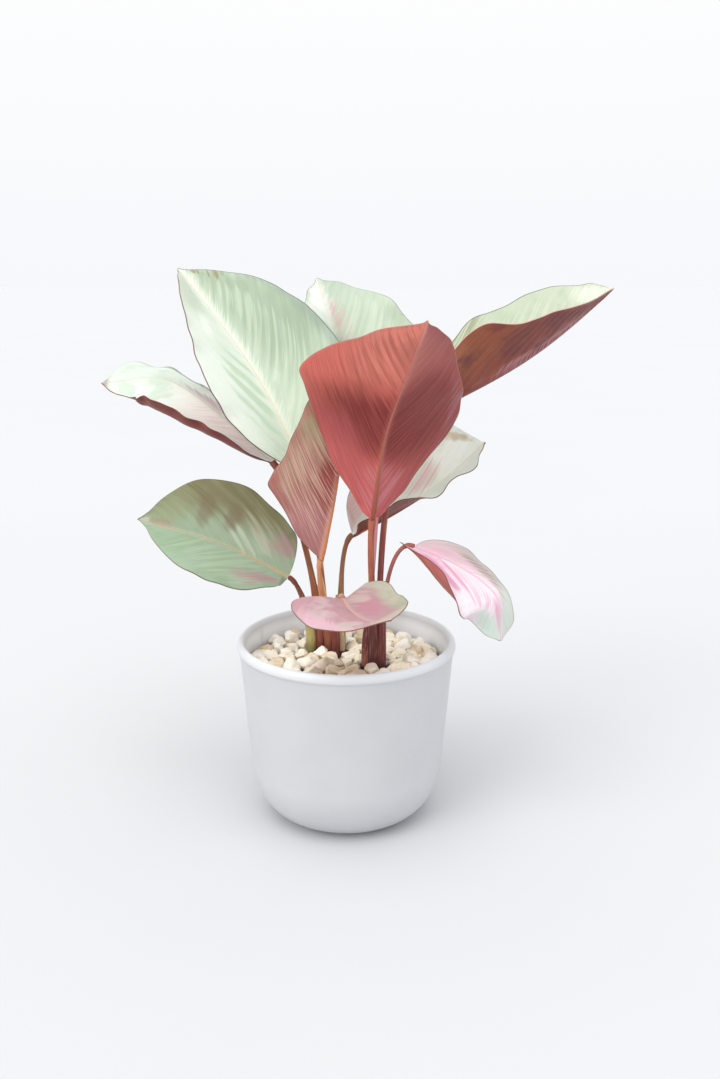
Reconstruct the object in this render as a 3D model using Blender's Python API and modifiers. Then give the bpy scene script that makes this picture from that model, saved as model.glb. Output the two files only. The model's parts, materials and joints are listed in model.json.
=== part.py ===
"""Potted calathea: ten broad leaves on two clumps of stalks, in a small round pot topped with gravel.

Units are metres and +Z is up. The origin is the centre of the pot's flat foot, +X is the plant's right
and -Y its front. Lengths in the tables below are millimetres and angles are degrees.
"""

import math
import random

import bmesh
import bpy
import numpy as np
from mathutils import Euler, Vector

MM = 0.001
SEED = 7
GAP = 0.3

# Pot
POT_HEIGHT = 92.0
RIM_RADIUS = 55.0
LIP_HEIGHT = 4.0
LIP_STEP = 1.2
RIM_INNER_RADIUS = 50.7
WALL = 4.3
FOOT_RADIUS = 28.0
SHOULDER_RADIUS = 49.0
SHOULDER_HEIGHT = 30.0
FLOOR = 5.0
FLOOR_CORNER = 21.0
POT_SIDES = 38
CORNER_STEPS = 7
LIP_STEPS = 8

# Fill
SOIL_TOP = 76.5
GRAVEL_TOP = 79.8
STONE_RADIUS = (4.5, 6.0)
STONE_SPACING = 9.4
STONE_ROOT = 2.4

# Stalks stand upright from their foot in the soil to where they clear the gravel
STALK_FOOT = 52.0
STALK_CLEAR = 86.0
STALK_SIDES = 8
STALK_STEPS = 8
HOLE_SIDES = 12
PULVINUS_LENGTH = 6.0
PULVINUS_SWELL = 1.25

# Blades
BLADE_THICKNESS = 0.8
MIDRIB_THICKNESS = 1.6
SEAT = 0.5
BASE_HALF_WIDTH = 1.5
TIP_HALF_WIDTH = 0.9
FLAT_END = 0.05
NUDGE = 0.001
BLADE_ROWS = 12
BLADE_SHARES = (0.0, 0.08, 0.3, 0.55, 0.79, 1.0)

# Each blade: points of its midrib from base to tip, the way its upper face looks, and for the left and the
# right half the greatest width, the rise from flat at base, middle and tip, and the further curl to the
# margin. widest is where along the midrib a half is widest, base and tip are how pointed its ends are, and
# wave is the margin's height in millimetres, its count and its phase.
BLADES = {
    "blade_upper_left": {
        "rib": ((-21.6, 14, 175.7), (-47.4, 30, 223.7), (-85.6, 48, 272.2)),
        "face": (0.45, -0.9, 0.1), "width": (42, 46), "widest": (0.45, 0.45),
        "base": (0.6, 0.6), "tip": (0.7, 0.8),
        "rise": ((30, 40, 62), (20, 10, 0)), "curl": ((0, 0, 0), (0, -5, 0)), "wave": (1, 3, 0),
        "colour": "#A9C3A8",
    },
    "blade_left": {
        "rib": ((-38, 26, 176.6), (-64.9, 42, 198), (-96.2, 56, 215.8), (-130.9, 62, 214.7)),
        "face": (0.3, -0.15, 0.95), "width": (38, 30), "widest": (0.6, 0.5),
        "base": (0.6, 0.6), "tip": (0.8, 0.8),
        "rise": ((-30, -62, -60), (-8, -5, 15)), "curl": ((60, 105, 80), (0, 0, 0)), "wave": (2, 2, 0),
        "colour": "#A3B79C",
    },
    "blade_lower_left": {
        "rib": ((-28.7, -2, 123.8), (-63, -9, 143.4), (-99.3, -14, 155.8)),
        "face": (0.15, -0.95, 0.2), "width": (27, 31), "widest": (0.45, 0.42),
        "base": (0.6, 0.48), "tip": (0.8, 0.75),
        "rise": ((50, 55, 30), (0, 0, 0)), "curl": ((-10, -10, 0), (0, -5, 0)), "wave": (0.5, 2, 0),
        "colour": "#8C9B78",
    },
    "blade_centre_left": {
        "rib": ((-12.5, -2, 133), (-3.8, -5, 178.1), (-0.3, -3, 224.5)),
        "face": (-0.2, 0.95, 0.2), "width": (22, 33), "widest": (0.38, 0.38),
        "base": (0.95, 0.95), "tip": (1.0, 1.0),
        "rise": ((85, 85, 75), (0, 0, 0)), "curl": ((0, 0, 0), (0, 0, 0)), "wave": (1, 2, 0),
        "colour": "#B0787A",
    },
    "blade_centre": {
        "rib": ((12.8, -14, 156), (17.4, -20, 194.8), (24.2, -42, 225.3), (34.3, -68, 250.8)),
        "face": (0.05, 0.95, 0.3), "width": (41, 44), "widest": (0.38, 0.58),
        "base": (0.7, 0.9), "tip": (0.85, 1.1),
        "rise": ((25, 25, 50), (15, 5, 0)), "curl": ((20, 20, 0), (20, 10, 0)), "wave": (1, 3, 0),
        "colour": "#8E3F3C",
    },
    "blade_top_back": {
        "rib": ((11.9, 30, 187.3), (-3.6, 50, 231.3), (-15.8, 66, 267.5)),
        "face": (-0.01, -0.9, 0.39), "width": (26, 44), "widest": (0.5, 0.5),
        "base": (0.6, 0.6), "tip": (0.6, 0.8),
        "rise": ((15, 12, 10), (20, 10, 0)), "curl": ((0, 0, 0), (-5, -5, 0)), "wave": (1, 3, 0),
        "colour": "#A8BFA6",
    },
    "blade_upper_right": {
        "rib": ((38.2, 6, 204.6), (88.1, 16, 231.6), (130.8, 26, 262.8)),
        "face": (-0.5, 0.1, 0.85), "width": (35, 30), "widest": (0.5, 0.38),
        "base": (0.6, 0.6), "tip": (0.8, 0.8),
        "rise": ((60, 55, 50), (45, 35, 10)), "curl": ((0, 0, 0), (0, 0, 0)), "wave": (1, 3, 0),
        "colour": "#7A4238",
    },
    "blade_middle_right": {
        "rib": ((3.4, 22, 139.6), (40, 32, 158.8), (72.3, 44, 184.1)),
        "face": (-0.4, -0.1, 0.85), "width": (34, 22), "widest": (0.6, 0.45),
        "base": (0.4, 0.6), "tip": (0.6, 0.7),
        "rise": ((60, 55, 48), (50, 12, -28)), "curl": ((0, 0, 0), (0, 0, 0)), "wave": (2, 3, 0),
        "colour": "#9DB596",
    },
    "blade_lower_right": {
        "rib": ((33.4, -10, 141.2), (52.3, -18, 128.4), (68.2, -24, 117.2), (73.8, -26, 98.8)),
        "face": (0.5, -0.5, 0.7), "width": (26, 31), "widest": (0.45, 0.45),
        "base": (0.6, 0.6), "tip": (0.8, 0.8),
        "rise": ((20, 10, 0), (85, 15, -20)), "curl": ((-20, -20, 0), (0, 0, 0)), "wave": (1, 2, 0),
        "colour": "#D9B4B4",
    },
    "blade_low_front": {
        "rib": ((-1.4, -22, 119.1), (2.6, -42, 119.5), (10.3, -62, 121.1), (19.9, -78, 126.7)),
        "face": (-0.1, -0.1, 1.0), "width": (26, 29), "widest": (0.45, 0.45),
        "base": (0.6, 0.6), "tip": (0.8, 0.8),
        "rise": ((25, 12, 5), (30, 20, 0)), "curl": ((0, 0, 0), (-20, -20, 0)), "wave": (0.5, 2, 0),
        "colour": "#B98586",
    },
}

# Each stalk: its foot, the radius there and at its top, how far it runs upright and how far it leads into the
# blade, and the sheath's height above the gravel with the way it looks, where it has one.
SHOOTS = {
    "left_shoot_stems": {
        "blade_lower_left": {"foot": (-18.4, 10.5), "radius": (2.6, 1.0), "lift": 14, "lead": 6},
        "blade_left": {"foot": (-13.9, 12.0), "radius": (2.9, 1.5), "lift": 30, "lead": 12},
        "blade_upper_left": {"foot": (-11.5, 15.0), "radius": (2.7, 1.5), "lift": 25, "lead": 15,
                             "sheath": (44, -110)},
        "blade_centre_left": {"foot": (-9.2, 10.5), "radius": (2.7, 1.3), "lift": 14, "lead": 12},
        "blade_low_front": {"foot": (-5.8, 8.5), "radius": (2.3, 1.0), "lift": 18, "lead": 12},
        "blade_middle_right": {"foot": (-3.0, 12.0), "radius": (2.4, 1.2), "lift": 20, "lead": 8,
                               "sheath": (24, -140)},
    },
    "right_shoot_stems": {
        "blade_top_back": {"foot": (10.8, -10.5), "radius": (2.9, 1.2), "lift": 40, "lead": 25,
                           "sheath": (40, -60)},
        "blade_centre": {"foot": (13.6, -13.2), "radius": (3.0, 1.5), "lift": 25, "lead": 15},
        "blade_upper_right": {"foot": (16.0, -10.8), "radius": (3.0, 1.5), "lift": 60, "lead": 20},
        "blade_lower_right": {"foot": (17.2, -13.4), "radius": (2.5, 1.0), "lift": 42, "lead": 10},
    },
}
SHOOT_COLOURS = {"left_shoot_stems": "#75493A", "right_shoot_stems": "#6B3034"}
SHEATH_THICKNESS = 0.8
SHEATH_ROOT = 5.0
SHEATH_STAND_OFF = 0.5
SHEATH_SPREAD = 95.0
SHEATH_POINT = 0.93
SHEATH_ROWS = 6
SHEATH_COLUMNS = 4
STALK_TAPER_HEIGHT = 40.0


def clear_scene():
    """Remove every object, so that the script can run again."""
    for thing in list(bpy.data.objects):
        bpy.data.objects.remove(thing, do_unlink=True)


def new_collection(name):
    """A collection linked to the scene."""
    collection = bpy.data.collections.new(name)
    bpy.context.scene.collection.children.link(collection)
    return collection


def linear(hex_colour):
    """An sRGB hex colour as the linear RGBA that a shader takes."""
    channels = [int(hex_colour[i:i + 2], 16) / 255 for i in (1, 3, 5)]
    return [c / 12.92 if c <= 0.04045 else ((c + 0.055) / 1.055) ** 2.4 for c in channels] + [1.0]


def material(name, hex_colour, roughness):
    """A Principled material with one colour and roughness; nothing here is metal."""
    made = bpy.data.materials.new(name)
    made.use_nodes = True
    shader = made.node_tree.nodes["Principled BSDF"]
    shader.inputs["Base Color"].default_value = linear(hex_colour)
    shader.inputs["Roughness"].default_value = roughness
    shader.inputs["Metallic"].default_value = 0.0
    return made


def add_object(name, mesh, collection, surface=None):
    """An object of the mesh in the collection, with its material."""
    made = bpy.data.objects.new(name, mesh)
    collection.objects.link(made)
    if surface:
        mesh.materials.append(surface)
    return made


def evaluated_mesh(thing):
    """A new mesh of the object as its modifiers leave it."""
    bpy.context.view_layer.update()
    depsgraph = bpy.context.evaluated_depsgraph_get()
    return bpy.data.meshes.new_from_object(thing.evaluated_get(depsgraph))


def apply_modifiers(thing):
    """Replace the object's mesh with its evaluated one."""
    mesh = evaluated_mesh(thing)
    thing.modifiers.clear()
    thing.data = mesh


def shade(thing, angle):
    """Smooth shading with edges sharper than the angle kept."""
    thing.data.shade_smooth()
    thing.data.set_sharp_from_angle(angle=math.radians(angle))


def union_into(base, others):
    """Join a collection's closed meshes to the base object, then remove them."""
    modifier = base.modifiers.new("Join", "BOOLEAN")
    modifier.operation = "UNION"
    modifier.operand_type = "COLLECTION"
    modifier.collection = others
    modifier.solver = "EXACT"
    apply_modifiers(base)
    keep_outer_body(base)
    for thing in list(others.objects):
        bpy.data.objects.remove(thing, do_unlink=True)
    bpy.data.collections.remove(others)


def cut_with(base, cutter):
    """Cut one closed mesh out of the base object, and keep the cutter."""
    modifier = base.modifiers.new("Hole", "BOOLEAN")
    modifier.operation = "DIFFERENCE"
    modifier.object = cutter
    modifier.solver = "EXACT"


def keep_outer_body(thing):
    """Fill the pockets that joining sealed and drop loose scraps: only the largest body stays."""
    bm = bmesh.new()
    bm.from_mesh(thing.data)
    unseen = set(bm.verts)
    largest = set()
    while unseen:
        front = [unseen.pop()]
        body = set(front)
        while front:
            vert = front.pop()
            near = {edge.other_vert(vert) for edge in vert.link_edges} - body
            body |= near
            front.extend(near)
        unseen -= body
        largest = max(largest, body, key=len)
    bmesh.ops.delete(bm, geom=[vert for vert in bm.verts if vert not in largest], context="VERTS")
    bm.to_mesh(thing.data)
    bm.free()


def blend(share):
    """A smooth step from 0 to 1."""
    share = min(max(share, 0.0), 1.0)
    return share * share * (3 - 2 * share)


# Turned pieces

def quarter(centre_r, centre_z, radius_r, radius_z, start, end, steps):
    """Points on an elliptical arc, with the angles counted from +r towards +z."""
    angles = [math.radians(start + (end - start) * i / steps) for i in range(steps + 1)]
    return [(centre_r + radius_r * math.cos(a), centre_z + radius_z * math.sin(a)) for a in angles]


def wall_radius(height):
    """The pot's inside radius above its rounded floor, where the wall leans out to the lip."""
    lean = (RIM_INNER_RADIUS - SHOULDER_RADIUS + WALL) / (POT_HEIGHT - LIP_HEIGHT - SHOULDER_HEIGHT)
    return SHOULDER_RADIUS - WALL + lean * (height - SHOULDER_HEIGHT)


def inner_wall(inset, top):
    """The pot's inside from the floor's centre up to a height, moved inwards by an inset."""
    corner_r = SHOULDER_RADIUS - WALL - FLOOR_CORNER
    floor = FLOOR + inset
    points = [(0.0, floor)]
    points += quarter(corner_r, SHOULDER_HEIGHT, FLOOR_CORNER - inset, SHOULDER_HEIGHT - floor,
                      -90, 0, CORNER_STEPS)
    points.append((wall_radius(top) - inset, top))
    return points


def turned(name, profile, collection, surface):
    """A solid turned about Z from a profile that runs from the inside to the outside's foot."""
    bm = bmesh.new()
    verts = [bm.verts.new((r * MM, 0.0, z * MM)) for r, z in profile]
    for first, second in zip(verts, verts[1:]):
        bm.edges.new((first, second))
    mesh = bpy.data.meshes.new(name)
    bm.to_mesh(mesh)
    bm.free()
    made = add_object(name, mesh, collection, surface)
    screw = made.modifiers.new("Turn", "SCREW")
    screw.axis = "Z"
    screw.angle = math.tau
    screw.steps = POT_SIDES
    screw.render_steps = POT_SIDES
    screw.use_merge_vertices = True
    screw.merge_threshold = 0.00001
    screw.use_smooth_shade = True
    return made


def pot_profile():
    """The pot's inside, rolled lip, wall and rounded foot as one line."""
    lip_base = POT_HEIGHT - LIP_HEIGHT
    lip_middle = (RIM_RADIUS + RIM_INNER_RADIUS) / 2
    half_lip = RIM_RADIUS - lip_middle
    fillet = SHOULDER_RADIUS - FOOT_RADIUS
    points = inner_wall(0.0, lip_base)
    points += quarter(lip_middle, lip_base, half_lip, LIP_HEIGHT, 180, 0, LIP_STEPS)[1:]
    points.append((RIM_RADIUS - LIP_STEP, lip_base - LIP_STEP))
    points += quarter(FOOT_RADIUS, SHOULDER_HEIGHT, fillet, SHOULDER_HEIGHT, 0, -90, CORNER_STEPS)
    points.append((0.0, 0.0))
    return points


def make_pot(collection):
    """The pot, with a flat foot to stand on."""
    pot = turned("pot", pot_profile(), collection, material("satin glaze", "#DCE1E4", 0.35))
    apply_modifiers(pot)
    shade(pot, 40)


# Stalks

def unit(vector):
    """The vector at length 1."""
    return vector / np.linalg.norm(vector)


def stalk_line(stalk, blade):
    """Points of a stalk's centre line, upright in the soil and then a Bezier curve into the blade's base."""
    start = np.array([*stalk["foot"], STALK_CLEAR], float)
    rib = np.array(blade["rib"], float)
    lead = unit(rib_points(rib, np.array([NUDGE]))[0] - rib[0])
    end = rib[0] - lead * SEAT
    controls = (start, start + (0, 0, stalk["lift"]), end - lead * stalk["lead"], end)
    points = [start * (1, 1, 0) + (0, 0, STALK_FOOT)]
    length = np.linalg.norm(end - start)
    joint = 1 - PULVINUS_LENGTH / length
    for share in [*np.linspace(0, joint, STALK_STEPS), 1 - 0.5 * (1 - joint), 1.0]:
        weights = ((1 - share) ** 3, 3 * share * (1 - share) ** 2, 3 * share ** 2 * (1 - share), share ** 3)
        points.append(sum(w * c for w, c in zip(weights, controls)))
    return points


def stalk_radius(stalk, point, from_end):
    """Thick at the foot, slim above, with the swollen joint under the blade."""
    foot, top = stalk["radius"]
    radius = foot + (top - foot) * blend((point[2] - STALK_CLEAR) / STALK_TAPER_HEIGHT)
    return radius * (PULVINUS_SWELL if from_end <= 1 else 1.0)


def make_stalk(name, stalk, blade, collection):
    """One stalk as a tube on a curve, made a mesh with its caps welded."""
    line = stalk_line(stalk, blade)
    curve = bpy.data.curves.new(name, "CURVE")
    curve.dimensions = "3D"
    curve.bevel_depth = MM
    curve.bevel_resolution = STALK_SIDES // 2 - 2
    curve.use_fill_caps = True
    spline = curve.splines.new("POLY")
    spline.points.add(len(line) - 1)
    for i, point in enumerate(line):
        spline.points[i].co = (*(point * MM), 1.0)
        spline.points[i].radius = stalk_radius(stalk, point, len(line) - 1 - i)
    tube = add_object(name + "_curve", curve, collection)
    mesh = evaluated_mesh(tube)
    bm = bmesh.new()
    bm.from_mesh(mesh)
    bmesh.ops.remove_doubles(bm, verts=bm.verts, dist=0.00001)
    bmesh.ops.recalc_face_normals(bm, faces=bm.faces)
    bm.to_mesh(mesh)
    bm.free()
    made = add_object(name, mesh, collection)
    made.matrix_world = tube.matrix_world
    bpy.data.objects.remove(tube, do_unlink=True)
    return made


def make_sheath(name, stalk, blade, collection):
    """A papery sheath: a thin half tube that clasps the stalk and narrows to a tip."""
    height, look = stalk["sheath"]
    line = stalk_line(stalk, blade)
    levels = np.linspace(STALK_CLEAR - SHEATH_ROOT, STALK_CLEAR + height, SHEATH_ROWS + 1)
    heights = [point[2] for point in line]
    bm = bmesh.new()
    bmesh.ops.create_grid(bm, x_segments=SHEATH_ROWS, y_segments=SHEATH_COLUMNS, size=1.0)
    mesh = bpy.data.meshes.new(name)
    for vert in bm.verts:
        row = round((vert.co.x + 1) / 2 * SHEATH_ROWS)
        level = levels[row]
        centre = [np.interp(level, heights, [point[i] for point in line]) for i in (0, 1)]
        narrowing = math.cos(math.pi / 2 * SHEATH_POINT * row / SHEATH_ROWS)
        turn = math.radians(look + vert.co.y * SHEATH_SPREAD * narrowing)
        radius = stalk_radius(stalk, (0, 0, level), STALK_STEPS) + SHEATH_STAND_OFF
        vert.co = Vector((centre[0], centre[1], level)) * MM
        vert.co += Vector((math.cos(turn), math.sin(turn), 0.0)) * radius * MM
    bmesh.ops.triangulate(bm, faces=bm.faces)
    bmesh.ops.recalc_face_normals(bm, faces=bm.faces)
    bm.to_mesh(mesh)
    bm.free()
    made = add_object(name, mesh, collection)
    solid = made.modifiers.new("Thickness", "SOLIDIFY")
    solid.thickness = SHEATH_THICKNESS * MM
    solid.offset = 0.0
    apply_modifiers(made)
    return made


def make_shoot(name, stalks, collection):
    """The stalks of one shoot, joined where they clasp each other at the base."""
    others = new_collection(name + "_joined")
    base = None
    for blade_name, stalk in stalks.items():
        target = others if base else collection
        tube = make_stalk(name if not base else "stalk_" + blade_name, stalk, BLADES[blade_name], target)
        base = base or tube
        if "sheath" in stalk:
            make_sheath("sheath_" + blade_name, stalk, BLADES[blade_name], others)
    union_into(base, others)
    base.data.materials.clear()
    base.data.materials.append(material("skin " + name, SHOOT_COLOURS[name], 0.5))
    shade(base, 50)


def make_hole_cutters(collection):
    """One plain upright hole for each stalk, through the gravel and down into the soil."""
    cutters = []
    for stalks in SHOOTS.values():
        for blade_name, stalk in stalks.items():
            bm = bmesh.new()
            depth = (STALK_CLEAR - STALK_FOOT + GAP) * MM
            sheathing = SHEATH_STAND_OFF + SHEATH_THICKNESS / 2 if "sheath" in stalk else 0.0
            radius = (stalk["radius"][0] + sheathing + GAP) / math.cos(math.pi / HOLE_SIDES) * MM
            bmesh.ops.create_cone(bm, cap_ends=True, segments=HOLE_SIDES, radius1=radius, radius2=radius,
                                  depth=depth)
            mesh = bpy.data.meshes.new("hole_" + blade_name)
            bm.to_mesh(mesh)
            bm.free()
            cutter = add_object("hole_" + blade_name, mesh, collection)
            middle = (STALK_CLEAR + STALK_FOOT - GAP) / 2
            cutter.location = Vector((*stalk["foot"], middle)) * MM
            cutter.hide_render = True
            cutter.display_type = "WIRE"
            cutters.append(cutter)
    return cutters


# Fill

def make_soil(collection, cutters):
    """The potting mix up to the gravel's underside, with the stalks' holes."""
    profile = [(0.0, SOIL_TOP)] + inner_wall(GAP, SOIL_TOP)[::-1]
    soil = turned("potting_mix", profile, collection, material("peat potting mix", "#4A3A2C", 0.95))
    apply_modifiers(soil)
    for cutter in cutters:
        cut_with(soil, cutter)
    apply_modifiers(soil)


def stone_places():
    """Stones in rings from the middle to the wall, nudged and turned at random."""
    rng = random.Random(SEED)
    outer = wall_radius(GRAVEL_TOP)
    rings = round(outer / STONE_SPACING)
    for ring in range(rings):
        radius = (ring + 0.5) * outer / rings
        count = round(math.tau * radius / STONE_SPACING)
        turn = rng.random()
        for i in range(count):
            angle = math.tau * (i + turn) / count + rng.uniform(-0.06, 0.06)
            size = rng.uniform(*STONE_RADIUS)
            out = min(radius + rng.uniform(-1.2, 1.2), outer - size - GAP)
            yield Vector((out * math.cos(angle), out * math.sin(angle), GRAVEL_TOP)), size, rng


def make_stone(number, place, size, rng, collection):
    """One chunky stone chip with few sides, its corners within its size, rooted in the layer."""
    bm = bmesh.new()
    bmesh.ops.create_cube(bm, size=2.0)
    turn = Euler([rng.uniform(0, math.tau) for _ in range(3)]).to_matrix()
    flat = rng.uniform(0.6, 0.8)
    for vert in bm.verts:
        vert.co = turn @ vert.co.normalized() * size * rng.uniform(0.8, 1.0)
        vert.co.z = max(vert.co.z * flat, -STONE_ROOT)
        vert.co *= MM
    bmesh.ops.triangulate(bm, faces=bm.faces)
    mesh = bpy.data.meshes.new("stone")
    bm.to_mesh(mesh)
    bm.free()
    stone = add_object("stone_" + str(number), mesh, collection)
    stone.location = place * MM


def make_gravel(collection, cutters):
    """A layer that covers the soil, with stone chips standing out of it and the stalks' holes."""
    bottom = SOIL_TOP + GAP
    side = [(wall_radius(height) - GAP, height) for height in (GRAVEL_TOP, bottom)]
    gravel = turned("gravel", [(0.0, GRAVEL_TOP)] + side + [(0.0, bottom)], collection,
                    material("cream stone chips", "#E3D9BF", 0.85))
    apply_modifiers(gravel)
    stones = new_collection("stones")
    for number, (place, size, rng) in enumerate(stone_places()):
        make_stone(number, place, size, rng, stones)
    union_into(gravel, stones)
    for cutter in cutters:
        cut_with(gravel, cutter)
    apply_modifiers(gravel)
    keep_outer_body(gravel)


# Blades

def rib_points(points, shares):
    """A smooth curve through a few evenly spaced points, from base (0) to tip (1)."""
    last = len(points) - 1
    ahead = 2 * points[-1] - points[-2]
    behind = 2 * points[0] - points[1]
    if last == 2:
        bend = points[2] - 2 * points[1] + points[0]
        ahead = ahead + 0.5 * bend
        behind = behind + 0.5 * bend
    padded = np.vstack([behind, points, ahead])
    place = np.clip(shares, 0, 1) * last
    index = np.minimum(place.astype(int), last - 1)
    t = (place - index)[:, None]
    a, b, c, d = (padded[index + i] for i in range(4))
    square = 2 * a - 5 * b + 4 * c - d
    cube = 3 * b - a - 3 * c + d
    return 0.5 * (2 * b + (c - a) * t + square * t ** 2 + cube * t ** 3)


def along(values, share):
    """Base, middle and tip values joined smoothly."""
    points = np.array(values, float)[:, None]
    return rib_points(points, np.array([share]))[0, 0]


def half_width(blade, side, share):
    """Half the blade's width at a share of its length: round shoulders and a drawn-out tip."""
    widest = blade["widest"][side]
    if share < widest:
        shape = math.sin(math.pi / 2 * share / widest) ** blade["base"][side]
    else:
        shape = max(math.cos(math.pi / 2 * (share - widest) / (1 - widest)), 0.0) ** blade["tip"][side]
    least = BASE_HALF_WIDTH + (TIP_HALF_WIDTH - BASE_HALF_WIDTH) * share
    return max(blade["width"][side] * shape, least)


def blade_point(blade, share, across):
    """A point of the upper face; across runs from -1 at the left margin to 1 at the right one."""
    rib = np.array(blade["rib"], float)
    here, before, after = rib_points(rib, np.array([share, share - NUDGE, share + NUDGE]))
    forward = unit(after - before)
    side_way = unit(np.cross(forward, blade["face"]))
    face_way = np.cross(side_way, forward)
    side = int(across > 0)
    reach = abs(across)
    width = half_width(blade, side, share)
    flatness = blend(share / FLAT_END) * blend((1 - share) / FLAT_END)
    rise = math.radians(along(blade["rise"][side], share)) * flatness
    curl = math.radians(along(blade["curl"][side], share)) * flatness or NUDGE
    out = width / curl * (math.sin(rise + curl * reach) - math.sin(rise))
    up = width / curl * (math.cos(rise) - math.cos(rise + curl * reach))
    height, count, phase = blade["wave"]
    swing = math.sin(math.tau * (count * share + phase + 0.25 * side))
    up += height * reach ** 2 * swing * math.sqrt(max(math.sin(math.pi * share), 0.0))
    return here + side_way * out * (1 if side else -1) + face_way * up


def make_blade(name, blade, collection):
    """A blade as a bent grid with a thickness that swells along the midrib."""
    shares = sorted({-s for s in BLADE_SHARES} | set(BLADE_SHARES))
    columns = len(shares) - 1
    bm = bmesh.new()
    bmesh.ops.create_grid(bm, x_segments=BLADE_ROWS, y_segments=columns, size=1.0)
    swell = {}
    for vert in bm.verts:
        step = (vert.co.x + 1) / 2
        share = step - math.sin(math.tau * step) / (math.tau * 2)
        across = shares[round((vert.co.y + 1) / 2 * columns)]
        vert.co = Vector(blade_point(blade, share, across)) * MM
        if across == 0.0:
            swell[vert.index] = 1 - share
    bmesh.ops.triangulate(bm, faces=bm.faces)
    mesh = bpy.data.meshes.new(name)
    bm.to_mesh(mesh)
    bm.free()
    made = add_object(name, mesh, collection, material("leaf " + name, blade["colour"], 0.5))
    group = made.vertex_groups.new(name="midrib")
    for index, weight in swell.items():
        group.add([index], weight, "REPLACE")
    solid = made.modifiers.new("Thickness", "SOLIDIFY")
    solid.thickness = MIDRIB_THICKNESS * MM
    solid.offset = 1.0
    solid.vertex_group = group.name
    solid.thickness_vertex_group = BLADE_THICKNESS / MIDRIB_THICKNESS
    shade(made, 60)


def main():
    """Model the pot, its fill, the stalks and the blades."""
    clear_scene()
    parts = new_collection("potted_calathea")
    cutter_parts = new_collection("cutters")
    make_pot(parts)
    cutters = make_hole_cutters(cutter_parts)
    make_soil(parts, cutters)
    make_gravel(parts, cutters)
    for name, stalks in SHOOTS.items():
        make_shoot(name, stalks, parts)
    for name, blade in BLADES.items():
        make_blade(name, blade, parts)


main()
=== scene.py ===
# %% [markdown]
# # A potted calathea
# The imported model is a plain, correct plant: a pot, its filling, two clumps of stalks and ten blades. This
# lesson dresses it. The frame comes first, because every piece below is made in its metres and in its
# place.
# %% Load the frame
import json
import math
import random
from collections import namedtuple

import bmesh
import bpy
import numpy as np
from mathutils import Matrix, Vector, noise


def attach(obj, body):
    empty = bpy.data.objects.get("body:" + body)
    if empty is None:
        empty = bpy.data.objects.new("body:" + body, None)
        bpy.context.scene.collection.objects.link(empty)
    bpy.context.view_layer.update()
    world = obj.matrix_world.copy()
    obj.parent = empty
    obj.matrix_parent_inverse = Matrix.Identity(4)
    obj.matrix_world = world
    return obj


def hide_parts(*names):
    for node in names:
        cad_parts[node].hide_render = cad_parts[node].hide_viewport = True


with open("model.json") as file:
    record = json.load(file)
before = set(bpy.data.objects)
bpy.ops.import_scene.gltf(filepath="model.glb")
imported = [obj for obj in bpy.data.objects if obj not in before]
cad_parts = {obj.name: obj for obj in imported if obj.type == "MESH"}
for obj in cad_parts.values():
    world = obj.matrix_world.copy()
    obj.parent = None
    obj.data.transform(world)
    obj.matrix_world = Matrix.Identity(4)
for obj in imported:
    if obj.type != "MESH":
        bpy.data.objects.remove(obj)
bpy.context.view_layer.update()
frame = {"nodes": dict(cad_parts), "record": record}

MM = 0.001
SLOTS = {part["node"]: part["material_slot"] for part in frame["record"]["subparts"]}

# %% [markdown]
# ## Two small tools
# A colour is chosen as the sRGB hex that a paint program shows, and a shader wants linear light, so one
# function turns one into the other. Another adds any node with its settings and its links. The kinds of
# node are listed once: what each one takes, in order, is said beside it.
# %% Colour and node tools
NOISE = ("TexNoise", {})  # where, scale, detail
CELLS = ("TexVoronoi", {})  # where, scale
SOFT_CELLS = ("TexVoronoi", {"feature": "SMOOTH_F1"})  # where, scale
PLACE = ("TexCoord", {}, "Object")
WAY = ("TexCoord", {}, "Generated")
STRETCH = ("Mapping", {})  # vector, and the Scale by name
SPOT = ("Mapping", {"vector_type": "TEXTURE"})  # vector, and the middle and the size by name
JOIN = ("CombineXYZ", {})  # x, y, z
HEIGHT = ("SeparateXYZ", {}, "Z")  # vector
FAR = ("VectorMath", {"operation": "LENGTH"}, "Value")  # vector
EASE = ("MapRange", {"interpolation_type": "SMOOTHSTEP"})  # value, low, high, least, most
RANGE = ("MapRange", {})  # the same five
MIX = ("Mix", {"data_type": "RGBA"})  # amount, under, over
TIMES = ("Math", {"operation": "MULTIPLY"})  # value, gain
TIMES_PLUS = ("Math", {"operation": "MULTIPLY_ADD"})  # value, gain, shift
PLUS = ("Math", {"operation": "ADD"})  # value, value
OVER = ("Math", {"operation": "DIVIDE"})  # value, divisor
SIZE = ("Math", {"operation": "ABSOLUTE"})  # value
SINE = ("Math", {"operation": "SINE"})  # value


def linear(hex_colour):
    """The linear colour of an sRGB hex value."""
    channels = [int(hex_colour[i:i + 2], 16) / 255 for i in (1, 3, 5)]
    return [c / 12.92 if c <= 0.04045 else ((c + 0.055) / 1.055) ** 2.4 for c in channels] + [1.0]


def add(tree, kind, *values, **named):
    """Add a node, set or link its inputs in order and by name, and return its wanted or first output."""
    node = tree.nodes.new("ShaderNode" + kind[0])
    for name, value in kind[1].items():
        setattr(node, name, value)
    given = list(zip([s for s in node.inputs if s.enabled], values))
    for socket, value in given + [(node.inputs[name], value) for name, value in named.items()]:
        if isinstance(value, bpy.types.NodeSocket):
            tree.links.new(value, socket)
        else:
            socket.default_value = linear(value) if isinstance(value, str) else value
    outputs = [s for s in node.outputs if s.enabled]
    return next((s for s in outputs if s.name in kind[2:]), outputs[0] if outputs else node)


print("19 kinds of node are named, and sRGB #808080 is", round(linear("#808080")[0], 3), "in linear light")

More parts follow.
